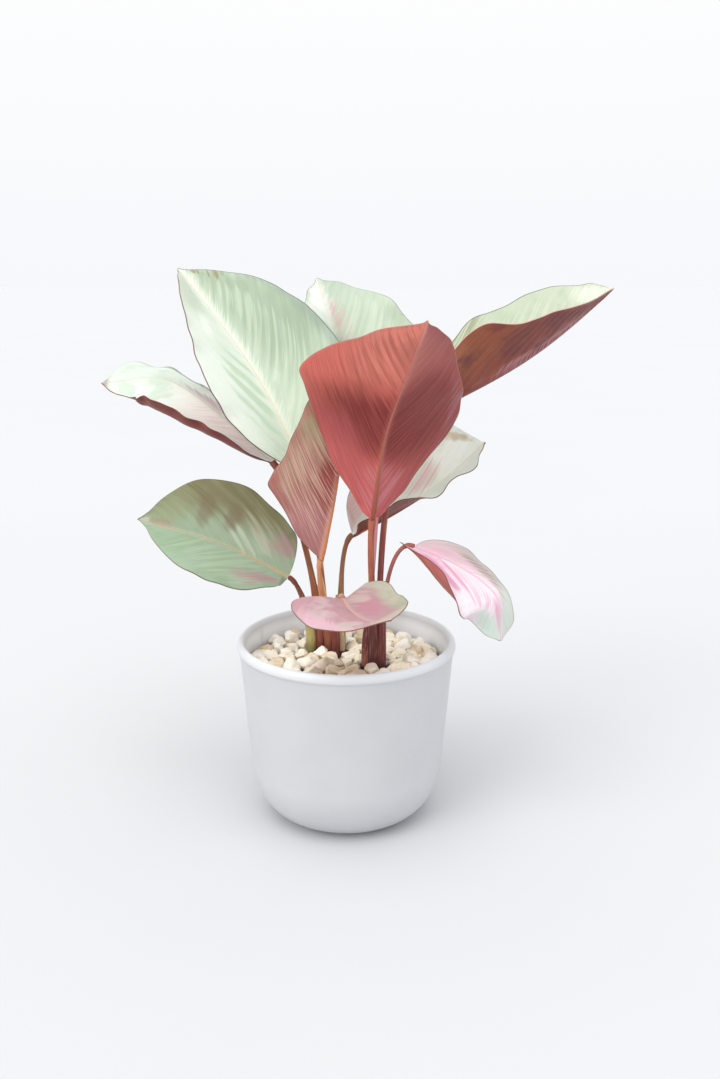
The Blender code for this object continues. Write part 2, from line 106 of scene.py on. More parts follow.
# %% [markdown]
# ## From a pattern to a material
# Most patterns here are an eased step between two values of a noise, and a colour mixed in where it is
# high: veins, blotches, dust. A finish closes the material with its shader. What it can't vary, like the
# index of refraction, is set once as a constant, because it belongs to the stuff and not to a spot on it.
# %% Finish


def tinted(tree, colour, tint, value, low, high, most=1.0):
    """The colour with a tint over it, from none at the value's low to most at its high."""
    return add(tree, MIX, add(tree, EASE, value, low, high, 0.0, most), colour, tint)


def finish(name, tree_of, constants):
    """A material: tree_of gives its colour, roughness and bump height in metres, constants the rest."""
    material = bpy.data.materials.new(name)
    material.use_nodes = True
    tree = material.node_tree
    tree.nodes.clear()
    colour, roughness, height = tree_of(tree)
    normal = add(tree, ("Bump", {}), Strength=1.0, Distance=1.0, Height=height)
    shader = add(tree, ("BsdfPrincipled", {}),
                 **{"Base Color": colour, "Roughness": roughness, "Normal": normal, **constants})
    add(tree, ("OutputMaterial", {}), shader)
    print("finish:", name, len(tree.nodes), "nodes")
    return material


print("tinted lays one colour over another, and finish closes a material")

# %% [markdown]
# ## Camera
# The pot's rim shows as an ellipse, and its flatness gives the camera's tilt: 14 degrees down. The distance
# follows from the rim's width. A 35 mm lens on a 36 mm tall frame gives the same spread of leaves.
# %% Camera
LENS_MM, FRAME_MM, TILT_DEGREES = 35.0, 36.0, 14
CAMERA_PLACE = (0.0068, -0.5018, 0.2675)
camera_data = bpy.data.cameras.new("camera")
camera_data.lens = LENS_MM
camera_data.sensor_width = FRAME_MM
camera = bpy.data.objects.new("camera", camera_data)
camera.location = CAMERA_PLACE
camera.rotation_euler = (math.radians(90 - TILT_DEGREES), 0.0, 0.0)
bpy.context.scene.collection.objects.link(camera)
bpy.context.scene.camera = camera
bpy.context.scene.view_settings.view_transform = "Standard"
print("camera looks down by", TILT_DEGREES, "degrees from", CAMERA_PLACE)

# %% [markdown]
# ## The floor
# A studio sweep is a painted board that melts into pale air. To melt, it has to send back as much light as
# the air does, at every distance, so its grey is matched to the lamps below. It is the stage and not part
# of the plant, and it lies a hair under the pot, so that the two don't share a plane.
# %% Floor
FLOOR_HALF_SIZE, FLOOR_DROP = 30.0, 0.0004


def mesh_of(name, bm):
    """A new mesh with all that bm holds, which is then freed."""
    mesh = bpy.data.meshes.new(name)
    bm.to_mesh(mesh)
    bm.free()
    return mesh


def new_object(name, mesh, materials):
    """An object in the scene with its materials in order."""
    for material in materials:
        mesh.materials.append(material)
    made = bpy.data.objects.new(name, mesh)
    bpy.context.scene.collection.objects.link(made)
    return made


def per_metre(millimetres):
    """The scale of a pattern whose grain is this wide."""
    return 1 / (millimetres * MM)


def painted_board(tree):
    """Matt emulsion, rolled on: even, with the faintest clouds and an orange peel of 2.5 mm."""
    place = add(tree, PLACE)
    peel = add(tree, NOISE, place, per_metre(2.5), 2.0)
    cloud = add(tree, NOISE, place, per_metre(333.0))
    colour = tinted(tree, "#C9CBCE", "#CACCCF", cloud, 0.3, 0.7)
    return colour, add(tree, EASE, peel, 0.0, 0.1, 0.0, 0.95), add(tree, TIMES, peel, 0.000001)


bm = bmesh.new()
bmesh.ops.create_grid(bm, x_segments=8, y_segments=8, size=FLOOR_HALF_SIZE)
paint = finish("matt painted board", painted_board, {"IOR": 1.3})
floor = new_object("studio_board", mesh_of("studio_board", bm), [paint])
floor.location.z = -FLOOR_DROP

# %% [markdown]
# ## Air and lamps
# Lamps that are near would pool on the floor, so the four lamps are broad and far away, like windows with
# blinds: a key from the left front, one above, a fill from the right and one from behind. The air itself is
# a soft gradient, cool near the horizon and white above, which fills the shadows.
# %% Air and lamps
AIR_LOW, AIR_TOP, AIR_STRENGTH = "#F6F8FB", "#FFFFFF", 1.0
# Each lamp looks from its place towards the plant: place, watts per square metre, breadth in degrees and
# tint.
LAMPS = {
    "key": ((-1.1, -1.0, 0.85), 1.05, 35, "#FFFCF6"),
    "top": ((-0.1, -0.35, 1.2), 1.05, 45, "#FFFDFA"),
    "fill": ((1.2, -0.9, 0.6), 0.42, 80, "#F8FAFF"),
    "back": ((0.3, 1.0, 0.9), 0.15, 70, "#FFFFFF"),
}
world = bpy.data.worlds.new("pale air")
world.use_nodes = True
bpy.context.scene.world = world
air = world.node_tree
backdrop = tinted(air, AIR_LOW, AIR_TOP, add(air, HEIGHT, add(air, WAY)), -0.05, 0.35)
air.links.new(backdrop, air.nodes["Background"].inputs["Color"])
air.nodes["Background"].inputs["Strength"].default_value = AIR_STRENGTH
for name, (place, watts, degrees, tint) in LAMPS.items():
    lamp = bpy.data.lights.new(name, "SUN")
    lamp.energy = watts
    lamp.angle = math.radians(degrees)
    lamp.color = linear(tint)[:3]
    hung = bpy.data.objects.new(name, lamp)
    hung.location = place
    hung.rotation_euler = (-Vector(place)).to_track_quat("-Z", "Y").to_euler()
    bpy.context.scene.collection.objects.link(hung)
print("lamps:", ", ".join(LAMPS))

# %% [markdown]
# ## The pot
# It is slip-cast stoneware: a turned shape, so its section is drawn once, from the middle of the floor
# inside, up over the rolled lip and down to the foot, and a Screw modifier turns it. The section has the
# CAD's measures and more points, and cutting its corners twice gives the softness that a thick glaze
# leaves.
# %% Section of the pot
POT_HEIGHT, RIM_RADIUS, RIM_INNER_RADIUS = 92.0, 55.0, 50.7
LIP_HEIGHT, WALL = 4.0, 4.3
FOOT_RADIUS, SHOULDER_RADIUS, SHOULDER_HEIGHT = 28.0, 49.0, 30.0
FLOOR, FLOOR_CORNER = 5.0, 21.0
CORNER_STEPS, ROUND_STEPS = 10, 14
INSIDE_HEIGHTS = (50.0, 70.0, 82.0)
# The outside from the small step under the lip: how far inside the rim's radius it lies, and its height.
OUTSIDE = ((0.6, 87.1), (1.2, 86.4), (1.8, 79.0), (2.9, 66.0), (4.3, 48.0))


def quarter(centre_r, centre_z, radius_r, radius_z, start, end, steps):
    """Points on an elliptical arc, with the angles counted from outwards to upwards."""
    angles = [math.radians(start + (end - start) * i / steps) for i in range(steps + 1)]
    return [(centre_r + radius_r * math.cos(a), centre_z + radius_z * math.sin(a)) for a in angles]


def wall_radius(height):
    """The pot's inside radius above its rounded floor, where the wall leans out to the lip."""
    lean = (RIM_INNER_RADIUS - SHOULDER_RADIUS + WALL) / (POT_HEIGHT - LIP_HEIGHT - SHOULDER_HEIGHT)
    return SHOULDER_RADIUS - WALL + lean * (height - SHOULDER_HEIGHT)


def softened(points):
    """Each corner cut at a quarter of its sides, so that a sharp section turns round."""
    cut = [points[0]]
    for (r0, z0), (r1, z1) in zip(points, points[1:]):
        cut += [(near * r0 + (1 - near) * r1, near * z0 + (1 - near) * z1) for near in (0.75, 0.25)]
    return cut + [points[-1]]


lip_base = POT_HEIGHT - LIP_HEIGHT
lip_middle = (RIM_RADIUS + RIM_INNER_RADIUS) / 2
section = [(0.0, FLOOR)]
section += quarter(SHOULDER_RADIUS - WALL - FLOOR_CORNER, SHOULDER_HEIGHT, FLOOR_CORNER,
                   SHOULDER_HEIGHT - FLOOR, -90, 0, CORNER_STEPS)
section += [(wall_radius(height), height) for height in (*INSIDE_HEIGHTS, lip_base)]
section += quarter(lip_middle, lip_base, RIM_RADIUS - lip_middle, LIP_HEIGHT, 180, 0, ROUND_STEPS)[1:]
section += [(RIM_RADIUS - inset, height) for inset, height in OUTSIDE]
section += quarter(FOOT_RADIUS, SHOULDER_HEIGHT, SHOULDER_RADIUS - FOOT_RADIUS, SHOULDER_HEIGHT, 0, -90,
                   ROUND_STEPS)
section += [(0.0, 0.0)]
section = softened(softened(section))
print("pot section:", len(section), "points")

# %% [markdown]
# ## The glaze
# The glaze is satin and nearly plain, but one flat colour would look like plastic. On the real pot glaze
# pools while it melts, and the clay under it has specks. So clouds, specks and upright brown runs inside lie
# over each other, each of them faint. The inner wall and the lip are painted paler: painted light, for the
# shade inside the pot and for the light from above that falls on the lip.
# %% Glaze of the pot


def glazed_stoneware(tree):
    """Satin glaze on slip-cast stoneware: cool off-white, pooled a little darker, with faint brown runs
    inside, and painted light that makes the inner wall and the lip paler.
    """
    place = add(tree, PLACE)
    # The glaze runs in clouds about 25 mm wide, and its surface dimples every 3 mm.
    cloud = add(tree, NOISE, place, per_metre(25.0), 3.0)
    dimple = add(tree, NOISE, place, per_metre(3.03), 1.0)
    colour = tinted(tree, "#BFC1C4", "#C2C4C7", cloud, 0.3, 0.7)
    # Tiny iron specks in the clay, one in every 5.6 mm, drawn at 0.6 mm so that they show at all.
    speck = add(tree, CELLS, place, per_metre(5.56))
    colour = tinted(tree, colour, "#B9B7B2", speck, 0.1, 0.05, 0.35)
    # The inner wall is painted paler: painted light that lifts the shade the wall casts inside the pot. It
    # also has upright brown runs, 11 mm wide.
    inside = add(tree, ("Attribute", {"attribute_name": "inside"}, "Fac"))
    colour = add(tree, MIX, inside, colour, "#F1F6FB")
    runs = add(tree, STRETCH, place, Scale=(per_metre(11.1), per_metre(11.1), per_metre(125.0)))
    run = add(tree, NOISE, runs, 1.0, 4.0)
    stained = add(tree, TIMES, add(tree, EASE, run, 0.58, 0.78, 0.0, 0.5), inside)
    colour = add(tree, MIX, stained, colour, "#CBBBAA")
    # The lip is painted a little paler than the wall: a painted highlight where light from above falls on it.
    colour = tinted(tree, colour, "#D3D7DB", add(tree, HEIGHT, place), 0.085, 0.091)
    roughness = add(tree, RANGE, cloud, 0.3, 0.7, 0.34, 0.44)
    return colour, roughness, add(tree, TIMES, dimple, 0.00006)


glaze = finish("satin glazed stoneware", glazed_stoneware,
               {"IOR": 1.5, "Coat Weight": 0.25, "Coat Roughness": 0.2})

# %% [markdown]
# ## Turning the pot
# The section becomes the pot as clay does on a wheel. The modifier's result is made the pot's own mesh,
# because the finish needs a number on each of its points: 1 on the inner wall above the mix, and 0
# elsewhere.
# %% Turn the pot
TURNS, MERGE_GAP = 160, 0.00001
INSIDE_FROM, INSIDE_TO, INSIDE_SLACK = 30, 89, 1.0


def settle(thing):
    """Make the modifiers' result the object's own mesh, and shade it smooth."""
    bpy.context.view_layer.update()
    result = bpy.data.meshes.new_from_object(thing.evaluated_get(bpy.context.evaluated_depsgraph_get()))
    thing.modifiers.clear()
    thing.data = result
    result.shade_smooth()


def dress(piece, slot, *nodes):
    """Let a piece stand for its CAD nodes on the plant's one body, and say what it measures."""
    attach(piece, "root")
    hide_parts(*nodes)
    places = np.array([v.co for v in piece.data.vertices])
    low, high = np.round(places.min(0) / MM, 1), np.round(places.max(0) / MM, 1)
    print(piece.name, len(piece.data.polygons), "faces,", low, "to", high)


bm = bmesh.new()
corners = [bm.verts.new((r * MM, 0.0, z * MM)) for r, z in section]
for first, second in zip(corners, corners[1:]):
    bm.edges.new((first, second))
pot = new_object("stoneware_pot", mesh_of("stoneware_pot", bm), [glaze])
turn = pot.modifiers.new("Turn", "SCREW")
turn.axis = "Z"
turn.steps = turn.render_steps = TURNS
turn.use_merge_vertices = True
turn.merge_threshold = MERGE_GAP
settle(pot)
inside = pot.data.attributes.new("inside", "FLOAT", "POINT")
for number, vert in enumerate(pot.data.vertices):
    height, radius = vert.co.z / MM, vert.co.xy.length / MM
    within = radius < wall_radius(height) + INSIDE_SLACK
    inside.data[number].value = float(within and INSIDE_FROM < height < INSIDE_TO)
dress(pot, "pot_glaze", "pot")

# %% [markdown]
# ## Potting mix
# Peat and fine bark fill the pot. It only shows as dark gaps between the stone chips, so the CAD piece
# stays and gets the finish of damp peat: nearly black, rough, with pale crumbs of perlite.
# %% Potting mix


def damp_peat(tree):
    """Crumbs of 2 mm with fibres of 1 mm, and white perlite of 1 to 2 mm in every 7 mm."""
    place = add(tree, PLACE)
    crumb = add(tree, SOFT_CELLS, place, per_metre(2.22))
    fibre = add(tree, NOISE, place, per_metre(1.11), 4.0)
    colour = tinted(tree, "#2B1F17", "#59432F", fibre, 0.35, 0.7)
    perlite = add(tree, CELLS, place, per_metre(7.14))
    colour = tinted(tree, colour, "#CFC6B4", perlite, 0.16, 0.1, 0.7)
    return colour, add(tree, EASE, fibre, 0.0, 0.2, 0.0, 0.95), add(tree, TIMES, crumb, 0.0008)


peat = finish("damp peat mix", damp_peat, {"IOR": 1.4})
for held in frame["nodes"]["potting_mix"].material_slots:
    held.material = peat

# %% [markdown]
# ## The shape of a leaf
# A blade is a bent sheet, so it is made from its midrib: a smooth line through a few points, and for each
# half a width, a rise from flat and a curl. Walking outwards from the rib and adding up small steps at the
# turned angle gives the sheet, without stretching it. The CAD blades are made in the same way from close
# numbers and fewer rows; here more rows let the margins swell, roll over and sag as they do on the real
# plant.
# %% Numbers of the blades
# Each blade in millimetres and degrees: rib points, the way the upper face looks, then pairs for the left
# and right half: its width, where that is widest, the powers that shape it towards base and tip (a small
# one is round, a large one drawn out), and its rise from flat and its curl, each at base, middle and tip.
# The wave of the margin is a height and a count. A lobe is a share of the length, a spread, and a
# gain of width for each half. A roll is a half, a share, a spread, where it starts and by how much it
# turns. Ears pull the base's corners back. Pleat and ruffle are heights, and sweep and bow bend the side
# veins, where they aren't the usual.
LEAVES = {
    "blade_upper_left": {
        "rib": ((-21.6, 14, 175.7), (-47.4, 30, 223.7), (-85.6, 48, 272.2)),
        "face": (0.45, -0.9, 0.1), "width": (42, 46), "widest": (0.45, 0.45),
        "base": (0.6, 0.6), "tip": (0.7, 0.8),
        "rise": ((30, 40, 62), (20, 10, 0)), "curl": ((0, 0, 0), (0, -5, 0)), "wave": (1, 3),
        "lobes": ((0.82, 0.08, 0.05, 0.12),),
    },
    "blade_left": {
        "rib": ((-38, 26, 176.6), (-64.9, 42, 198), (-96.2, 56, 215.8), (-131.2, 62, 213.2)),
        "face": (0.3, -0.15, 0.95), "width": (35.5, 30), "widest": (0.6, 0.5), "pleat": 0.1, "ruffle": 0.8,
        "base": (0.6, 0.6), "tip": (0.8, 0.32),
        "rise": ((-30, -62, -80), (-8, -5, 15)), "curl": ((60, 105, 105), (0, 0, 0)), "wave": (1.2, 2),
        "lobes": ((0.93, 0.06, 0, 0.35), (0.56, 0.12, 0, -0.5), (0.86, 0.12, -0.25, 0),
                  (0.3, 0.2, -0.12, 0)),
        "rolls": ((0, 0.3, 0.3, 0.6, 45),),
    },
    "blade_lower_left": {
        "rib": ((-28.7, -2, 123.8), (-63, -9, 143.4), (-99.3, -14, 155.8)),
        "face": (0.15, -0.95, 0.2), "width": (27, 31), "widest": (0.45, 0.42),
        "base": (0.6, 0.48), "tip": (1.0, 0.8),
        "rise": ((50, 55, 30), (0, 0, 0)), "curl": ((-10, -10, 0), (0, -5, 0)), "wave": (0.5, 2),
        "lobes": ((0.12, 0.1, -0.15, 0), (0.05, 0.06, 0, 0.2), (0.76, 0.14, 0.06, 0.12),
                  (0.3, 0.1, 0, -0.08), (0.95, 0.035, -0.3, -0.25)),
    },
    "blade_centre_left": {
        "rib": ((-12.5, -2, 133), (-3.8, -5, 178.1), (-0.3, -3, 224.5)),
        "face": (-0.2, 0.95, 0.2), "width": (22, 33), "widest": (0.38, 0.38),
        "base": (0.95, 0.95), "tip": (1.0, 1.0),
        "rise": ((85, 85, 75), (0, 0, 0)), "wave": (1, 2),
        "lobes": ((0.9, 0.1, 0, 0.5), (0.56, 0.1, 0, -0.12), (0.22, 0.13, 0, -0.2),
                  (0.38, 0.035, 0, 0.045)),
    },
    "blade_centre": {
        "rib": ((12.8, -14, 156), (18.2, -20, 194.8), (26.6, -42, 225.3), (34.3, -68, 250.8)),
        "face": (0.05, 0.95, 0.3), "width": (37.5, 46), "widest": (0.42, 0.5),
        "base": (0.85, 0.75), "tip": (0.85, 1.1), "pleat": 0.12,
        "rise": ((25, 25, 50), (15, 5, 0)), "curl": ((20, 20, 0), (20, 10, 0)), "wave": (1, 3),
        "lobes": ((0.7, 0.14, -0.1, -0.04), (0.36, 0.12, 0, -0.1), (0.2, 0.13, -0.14, -0.2),
                  (0.52, 0.04, 0, 0.03), (0.92, 0.08, -0.12, 0.2), (0.48, 0.1, 0.03, 0),
                  (0.34, 0.07, 0.09, 0), (0.97, 0.03, -0.2, 0), (0.08, 0.06, 0, -0.22)),
    },
    "blade_top_back": {
        "rib": ((11.9, 30, 187.3), (-3.6, 50, 231.3), (-15.8, 66, 267.5)),
        "face": (-0.01, -0.9, 0.39), "width": (26, 44), "widest": (0.5, 0.5),
        "base": (0.6, 0.6), "tip": (0.6, 0.8),
        "rise": ((15, 12, 10), (20, 10, 0)), "curl": ((0, 0, 0), (-5, -5, 0)), "wave": (1, 3),
        "lobes": ((0.88, 0.1, -0.38, -0.22), (0.97, 0.025, -0.45, -0.3), (0.6, 0.15, 0, -0.14)),
    },
    "blade_upper_right": {
        "rib": ((38.2, 6, 204.6), (88.9, 16, 230.1), (130.8, 26, 262.8)),
        "face": (-0.5, 0.1, 0.85), "width": (35, 30), "widest": (0.5, 0.38),
        "base": (0.6, 0.3), "tip": (0.6, 0.8),
        "rise": ((60, 55, 50), (45, 35, 10)), "wave": (1, 3),
        "lobes": ((0.97, 0.025, 0.35, 0), (0.26, 0.14, 0.04, 0.26), (0.15, 0.08, 0.05, 0),
                  (0.38, 0.08, 0.03, 0.04), (0.68, 0.1, 0, -0.08), (0.84, 0.05, 0.08, 0)),
        "ruffle": 0.12,
    },
    "blade_middle_right": {
        "rib": ((3.4, 22, 139.6), (40, 32, 158.8), (72.3, 44, 184.1)),
        "face": (-0.4, -0.1, 0.85), "width": (34, 20), "widest": (0.6, 0.45),
        "base": (0.4, 0.6), "tip": (0.6, 0.7),
        "rise": ((60, 55, 48), (50, 12, -28)), "wave": (2, 3),
        "lobes": ((0.74, 0.12, 0, -0.36), (0.92, 0.06, 0.9, -0.45), (0.8, 0.08, 0.12, 0),
                  (0.48, 0.08, 0, -0.12), (0.62, 0.05, 0, -0.08)),
        "sweep": 2.6, "pleat": 0.1,
    },
    "blade_lower_right": {
        "rib": ((33.4, -10, 141.2), (53.9, -20, 134.4), (71.1, -27, 121.6), (74.3, -26, 98.8)),
        "face": (0.2, -0.7, 0.65), "width": (13.5, 24), "widest": (0.4, 0.4),
        "base": (0.45, 0.95), "tip": (0.5, 0.62),
        "lobes": ((0.58, 0.2, -0.32, 0), (0.92, 0.07, 0.45, 0), (0.62, 0.18, 0, 0.1)),
        "rise": ((0, -15, -20), (10, 5, 0)), "wave": (0.4, 2),
        "rolls": ((1, 0.2, 0.27, 0.5, 165),),
        "ears": (0, 8), "sweep": 2.3, "bow": 0.2, "pleat": 0.1,
    },
    "blade_low_front": {
        "rib": ((-1.4, -22, 119.1), (2.6, -42, 119.5), (10.3, -62, 121.1), (19.9, -78, 126.7)),
        "face": (-0.1, -0.1, 1.0), "width": (26, 29), "widest": (0.45, 0.45),
        "base": (0.4, 0.19), "tip": (0.75, 0.77),
        "rise": ((32, 12, 5), (24, 20, 0)), "curl": ((0, 0, 0), (-20, -20, 0)), "wave": (0.2, 2),
        "pleat": 0.05,
        "lobes": ((0.45, 0.2, -0.16, -0.04), (0.86, 0.12, 0.1, 0), (0.1, 0.08, 0, -0.06)),
    },
}
print(len(LEAVES), "blades")

# %% [markdown]
# ## From numbers to curves
# A few numbers have to give smooth curves: a rib through its points, and a rise or a width that changes
# evenly from base to tip. One curve that passes through evenly spaced points does all of that. A half's
# width starts as a quarter of a sine to each side of its widest place, and each lobe adds a soft swelling
# or a dent.
# %% Curves and widths
BASE_HALF_WIDTH, TIP_HALF_WIDTH = 1.5, 0.3
DRIP_TIP, DRIP_SPREAD = 0.55, 0.035


def smooth(value):
    """A soft step from 0 to 1."""
    value = np.clip(value, 0, 1)
    return value * value * (3 - 2 * value)


def unit(vectors):
    """The vectors at length 1."""
    return vectors / np.linalg.norm(vectors, axis=-1, keepdims=True)


def through(points, shares):
    """A smooth curve through evenly spaced points, from the first (0) to the last (1)."""
    points = np.array(points, float)
    last = len(points) - 1
    ahead, behind = 2 * points[-1] - points[-2], 2 * points[0] - points[1]
    if last == 2:
        bend = points[2] - 2 * points[1] + points[0]
        ahead, behind = ahead + 0.5 * bend, behind + 0.5 * bend
    padded = np.vstack([behind, points, ahead])
    place = np.clip(shares, 0, 1) * last
    index = np.minimum(place.astype(int), last - 1)
    t = (place - index)[:, None]
    a, b, c, d = (padded[index + i] for i in range(4))
    curve = 2 * b + (c - a) * t + (2 * a - 5 * b + 4 * c - d) * t ** 2 + (3 * b - a - 3 * c + d) * t ** 3
    return 0.5 * curve


def along_rib(values, shares):
    """Base, middle and tip values joined smoothly."""
    return through(np.array(values, float)[:, None], shares)[:, 0]


def half_widths(leaf, side, shares):
    """A half's width in millimetres: a round shoulder, a drawn-out tip and its lobes."""
    widest = leaf["widest"][side]
    low = np.sin(np.pi / 2 * np.clip(shares / widest, 0, 1)) ** leaf["base"][side]
    high = np.cos(np.pi / 2 * np.clip((shares - widest) / (1 - widest), 0, 1)) ** leaf["tip"][side]
    shape = np.where(shares < widest, low, high)
    for centre, spread, *gains in leaf.get("lobes", ()):
        shape = shape * (1 + gains[side] * np.exp(-((shares - centre) / spread) ** 2))
    shape = shape * (1 - DRIP_TIP * np.exp(-((1 - shares) / DRIP_SPREAD) ** 2))
    least = BASE_HALF_WIDTH + (TIP_HALF_WIDTH - BASE_HALF_WIDTH) * shares
    return np.maximum(leaf["width"][side] * shape, least)


for node, leaf in LEAVES.items():
    rib_length = np.linalg.norm(np.diff(through(leaf["rib"], np.linspace(0, 1, 60)), axis=0), axis=1).sum()
    print(node, "is", round(rib_length), "mm long and", sum(leaf["width"]), "mm wide")

# %% [markdown]
# ## Half a blade
# Each half is walked from the rib to the margin. At every step the sheet turns by its rise, its curl and
# its rolls, and the cosine and sine of that turn say how far the step goes outwards and upwards. Close to
# the base and the tip the sheet is flat, so that the two halves meet there.
# %% One half of a blade
FLAT_BASE, FLAT_TIP, NUDGE = 0.05, 0.015, 0.001
STRAIGHT = ((0, 0, 0), (0, 0, 0))
EAR_SPREAD, HALF_SHIFT = 0.07, 0.25


def half_surface(leaf, side, shares, reach):
    """Points of a half's upper face in millimetres, a row for each share and a column for each reach."""
    here = through(leaf["rib"], shares)
    forward = unit(through(leaf["rib"], shares + NUDGE) - through(leaf["rib"], shares - NUDGE))
    side_way = unit(np.cross(forward, np.array(leaf["face"], float)))
    face_way = np.cross(side_way, forward)
    flat = smooth(shares / FLAT_BASE) * smooth((1 - shares) / FLAT_TIP)
    width = half_widths(leaf, side, shares)
    turn = (along_rib(leaf["rise"][side], shares) * flat)[:, None]
    turn = turn + (along_rib(leaf.get("curl", STRAIGHT)[side], shares) * flat)[:, None] * reach
    for rolled, centre, spread, start, degrees in leaf.get("rolls", ()):
        if rolled == side:
            strength = degrees * np.exp(-((shares - centre) / spread) ** 2)
            turn = turn + strength[:, None] * smooth((reach - start) / (1 - start))
    turn = np.radians(turn)
    steps = np.diff(reach)

    def summed(values):
        """The sum of the values from the rib outwards, in millimetres."""
        parts = (values[:, 1:] + values[:, :-1]) / 2 * steps
        return np.hstack([np.zeros((len(shares), 1)), np.cumsum(parts, axis=1)]) * width[:, None]

    out, up = summed(np.cos(turn)), summed(np.sin(turn))
    height, count = leaf["wave"]
    swing = np.sin(2 * np.pi * (count * shares + HALF_SHIFT * side))
    swing = swing * np.sqrt(np.maximum(np.sin(np.pi * shares), 0))
    up = up + height * reach ** 2 * swing[:, None]
    ear = leaf.get("ears", (0, 0))[side] * np.exp(-(shares / EAR_SPREAD) ** 2)
    here = here[:, None] - forward[:, None] * (ear[:, None] * reach ** 2)[..., None]
    sign = 1 if side else -1
    return here + side_way[:, None] * (sign * out)[..., None] + face_way[:, None] * up[..., None]


margin = half_surface(LEAVES["blade_centre"], 0, np.array([0.5]), np.linspace(0, 1, 33))[0, -1]
print("left margin of the centre leaf, half way up, in mm:", np.round(margin, 1))

# %% [markdown]
# ## Veins and pleats
# The side veins leave the midrib and sweep forward, and the sheet is pleated between them. Every vertex
# keeps where it lies on its leaf: how far along, how far across, how far from the margin, and a distance
# that stays the same all along one side vein. The finishes draw with those, so the pattern follows the
# leaf's bends.
# %% Points of a blade
ROWS, COLUMNS = 130, 32
VEIN_SPACING, SWEEP, BOW = 8.5, 1.15, 0.5
PLEAT, CALM_RIB, CALM_EDGE = 0.18, 6.0, 5.0
RUFFLE, LONG_RUFFLE, SHORT_RUFFLE = 0.3, 17.0, 1.9
GROOVE, GROOVE_WIDTH, GROOVE_END = 0.25, 1.1, 8.0


def leaf_points(leaf, number):
    """The blade's grid of points and what each knows of its place, all in millimetres or shares."""
    step = np.linspace(0, 1, ROWS)
    shares = step - np.sin(2 * np.pi * step) / (4 * np.pi)
    reach = np.linspace(0, 1, COLUMNS + 1)
    left, right = (half_surface(leaf, side, shares, reach) for side in (0, 1))
    points = np.hstack([left[:, :0:-1], right])
    reaches = np.concatenate([-reach[:0:-1], reach])
    left_width, right_width = (half_widths(leaf, side, shares)[:, None] for side in (0, 1))
    widths = np.where(reaches < 0, left_width, right_width)
    rib_steps = np.linalg.norm(np.diff(points[:, COLUMNS], axis=0), axis=1)
    along = np.concatenate([[0], np.cumsum(rib_steps)])[:, None] + 0 * widths
    across = reaches * widths
    vein = along - leaf.get("sweep", SWEEP) * np.abs(across) - leaf.get("bow", BOW) * across ** 2 / widths
    edge = widths - np.abs(across)
    normal = unit(np.cross(np.gradient(points, axis=1), np.gradient(points, axis=0)))
    calm = smooth(np.abs(across) / CALM_RIB) * smooth(edge / CALM_EDGE)
    lift = leaf.get("pleat", PLEAT) * np.sin(2 * np.pi * vein / VEIN_SPACING) * calm
    slow = np.sin(2 * np.pi * along / LONG_RUFFLE + 1.7 * number + np.sign(across))
    slow += 0.6 * np.sin(along / SHORT_RUFFLE + number)
    lift += leaf.get("ruffle", RUFFLE) * np.abs(reaches) ** 5 * slow * np.sin(np.pi * shares[:, None]) ** 0.5
    lift -= GROOVE * np.exp(-(across / GROOVE_WIDTH) ** 2) * smooth(widths / GROOVE_END)
    points = points + normal * lift[..., None]
    known = {"share": shares[:, None] + 0 * across, "reach": reaches + 0 * across, "along": along,
             "across": across, "vein": vein, "edge": edge}
    return points, known


print("a blade has", ROWS, "rows of", 2 * COLUMNS + 1, "points")

# %% Mesh of a blade


def grid_mesh(name, points, known):
    """A mesh of the grid of points, with every known value stored on it."""
    rows, columns = points.shape[:2]
    bm = bmesh.new()
    bmesh.ops.create_grid(bm, x_segments=rows - 1, y_segments=columns - 1, size=1.0)
    mesh = mesh_of(name, bm)
    flat = np.empty(len(mesh.vertices) * 3)
    mesh.vertices.foreach_get("co", flat)
    flat = flat.reshape(-1, 3)
    row = np.rint((flat[:, 0] + 1) / 2 * (rows - 1)).astype(int)
    column = np.rint((flat[:, 1] + 1) / 2 * (columns - 1)).astype(int)
    mesh.vertices.foreach_set("co", (points[row, column] * MM).ravel())
    for label, values in known.items():
        mesh.attributes.new(label, "FLOAT", "POINT").data.foreach_set("value", values[row, column])
    return mesh


KNOWN = tuple(leaf_points(LEAVES["blade_centre"], 0)[1])
print("each point keeps its", ", ".join(KNOWN))

# %% [markdown]
# ## The skin of a leaf
# The real leaf is a thin cuticle of wax over green, cream, pink or maroon tissue. It is satin, not glossy.
# Its pattern could be one painted image, but one that is drawn from the stored places stays sharp close up
# and follows the veins by itself. All of it comes from three noises: clouds that lie on the leaf, and a
# long and a fine grain that are drawn out along the side veins.
# %% Patterns on a leaf
BAND_MM, NARROW_BAND_MM = 13.0, 6.5
# The finest veins run 1 mm apart; at 1.3 mm they still show at the camera's distance.
FINE_MM = 1.3


def grain(tree, place, first_mm, second_mm, detail):
    """Noise on the leaf, with the size of its grain each way in millimetres."""
    return add(tree, NOISE, add(tree, STRETCH, place, Scale=(1 / first_mm, 1 / second_mm, 1.0)), 1.0, detail)


def waves(tree, vein, cloud, period, wander):
    """Bands of this period in millimetres, wandering by the cloud."""
    at = add(tree, TIMES_PLUS, cloud, wander, vein)
    return add(tree, SINE, add(tree, TIMES_PLUS, at, 2 * math.pi / period, 0.0))


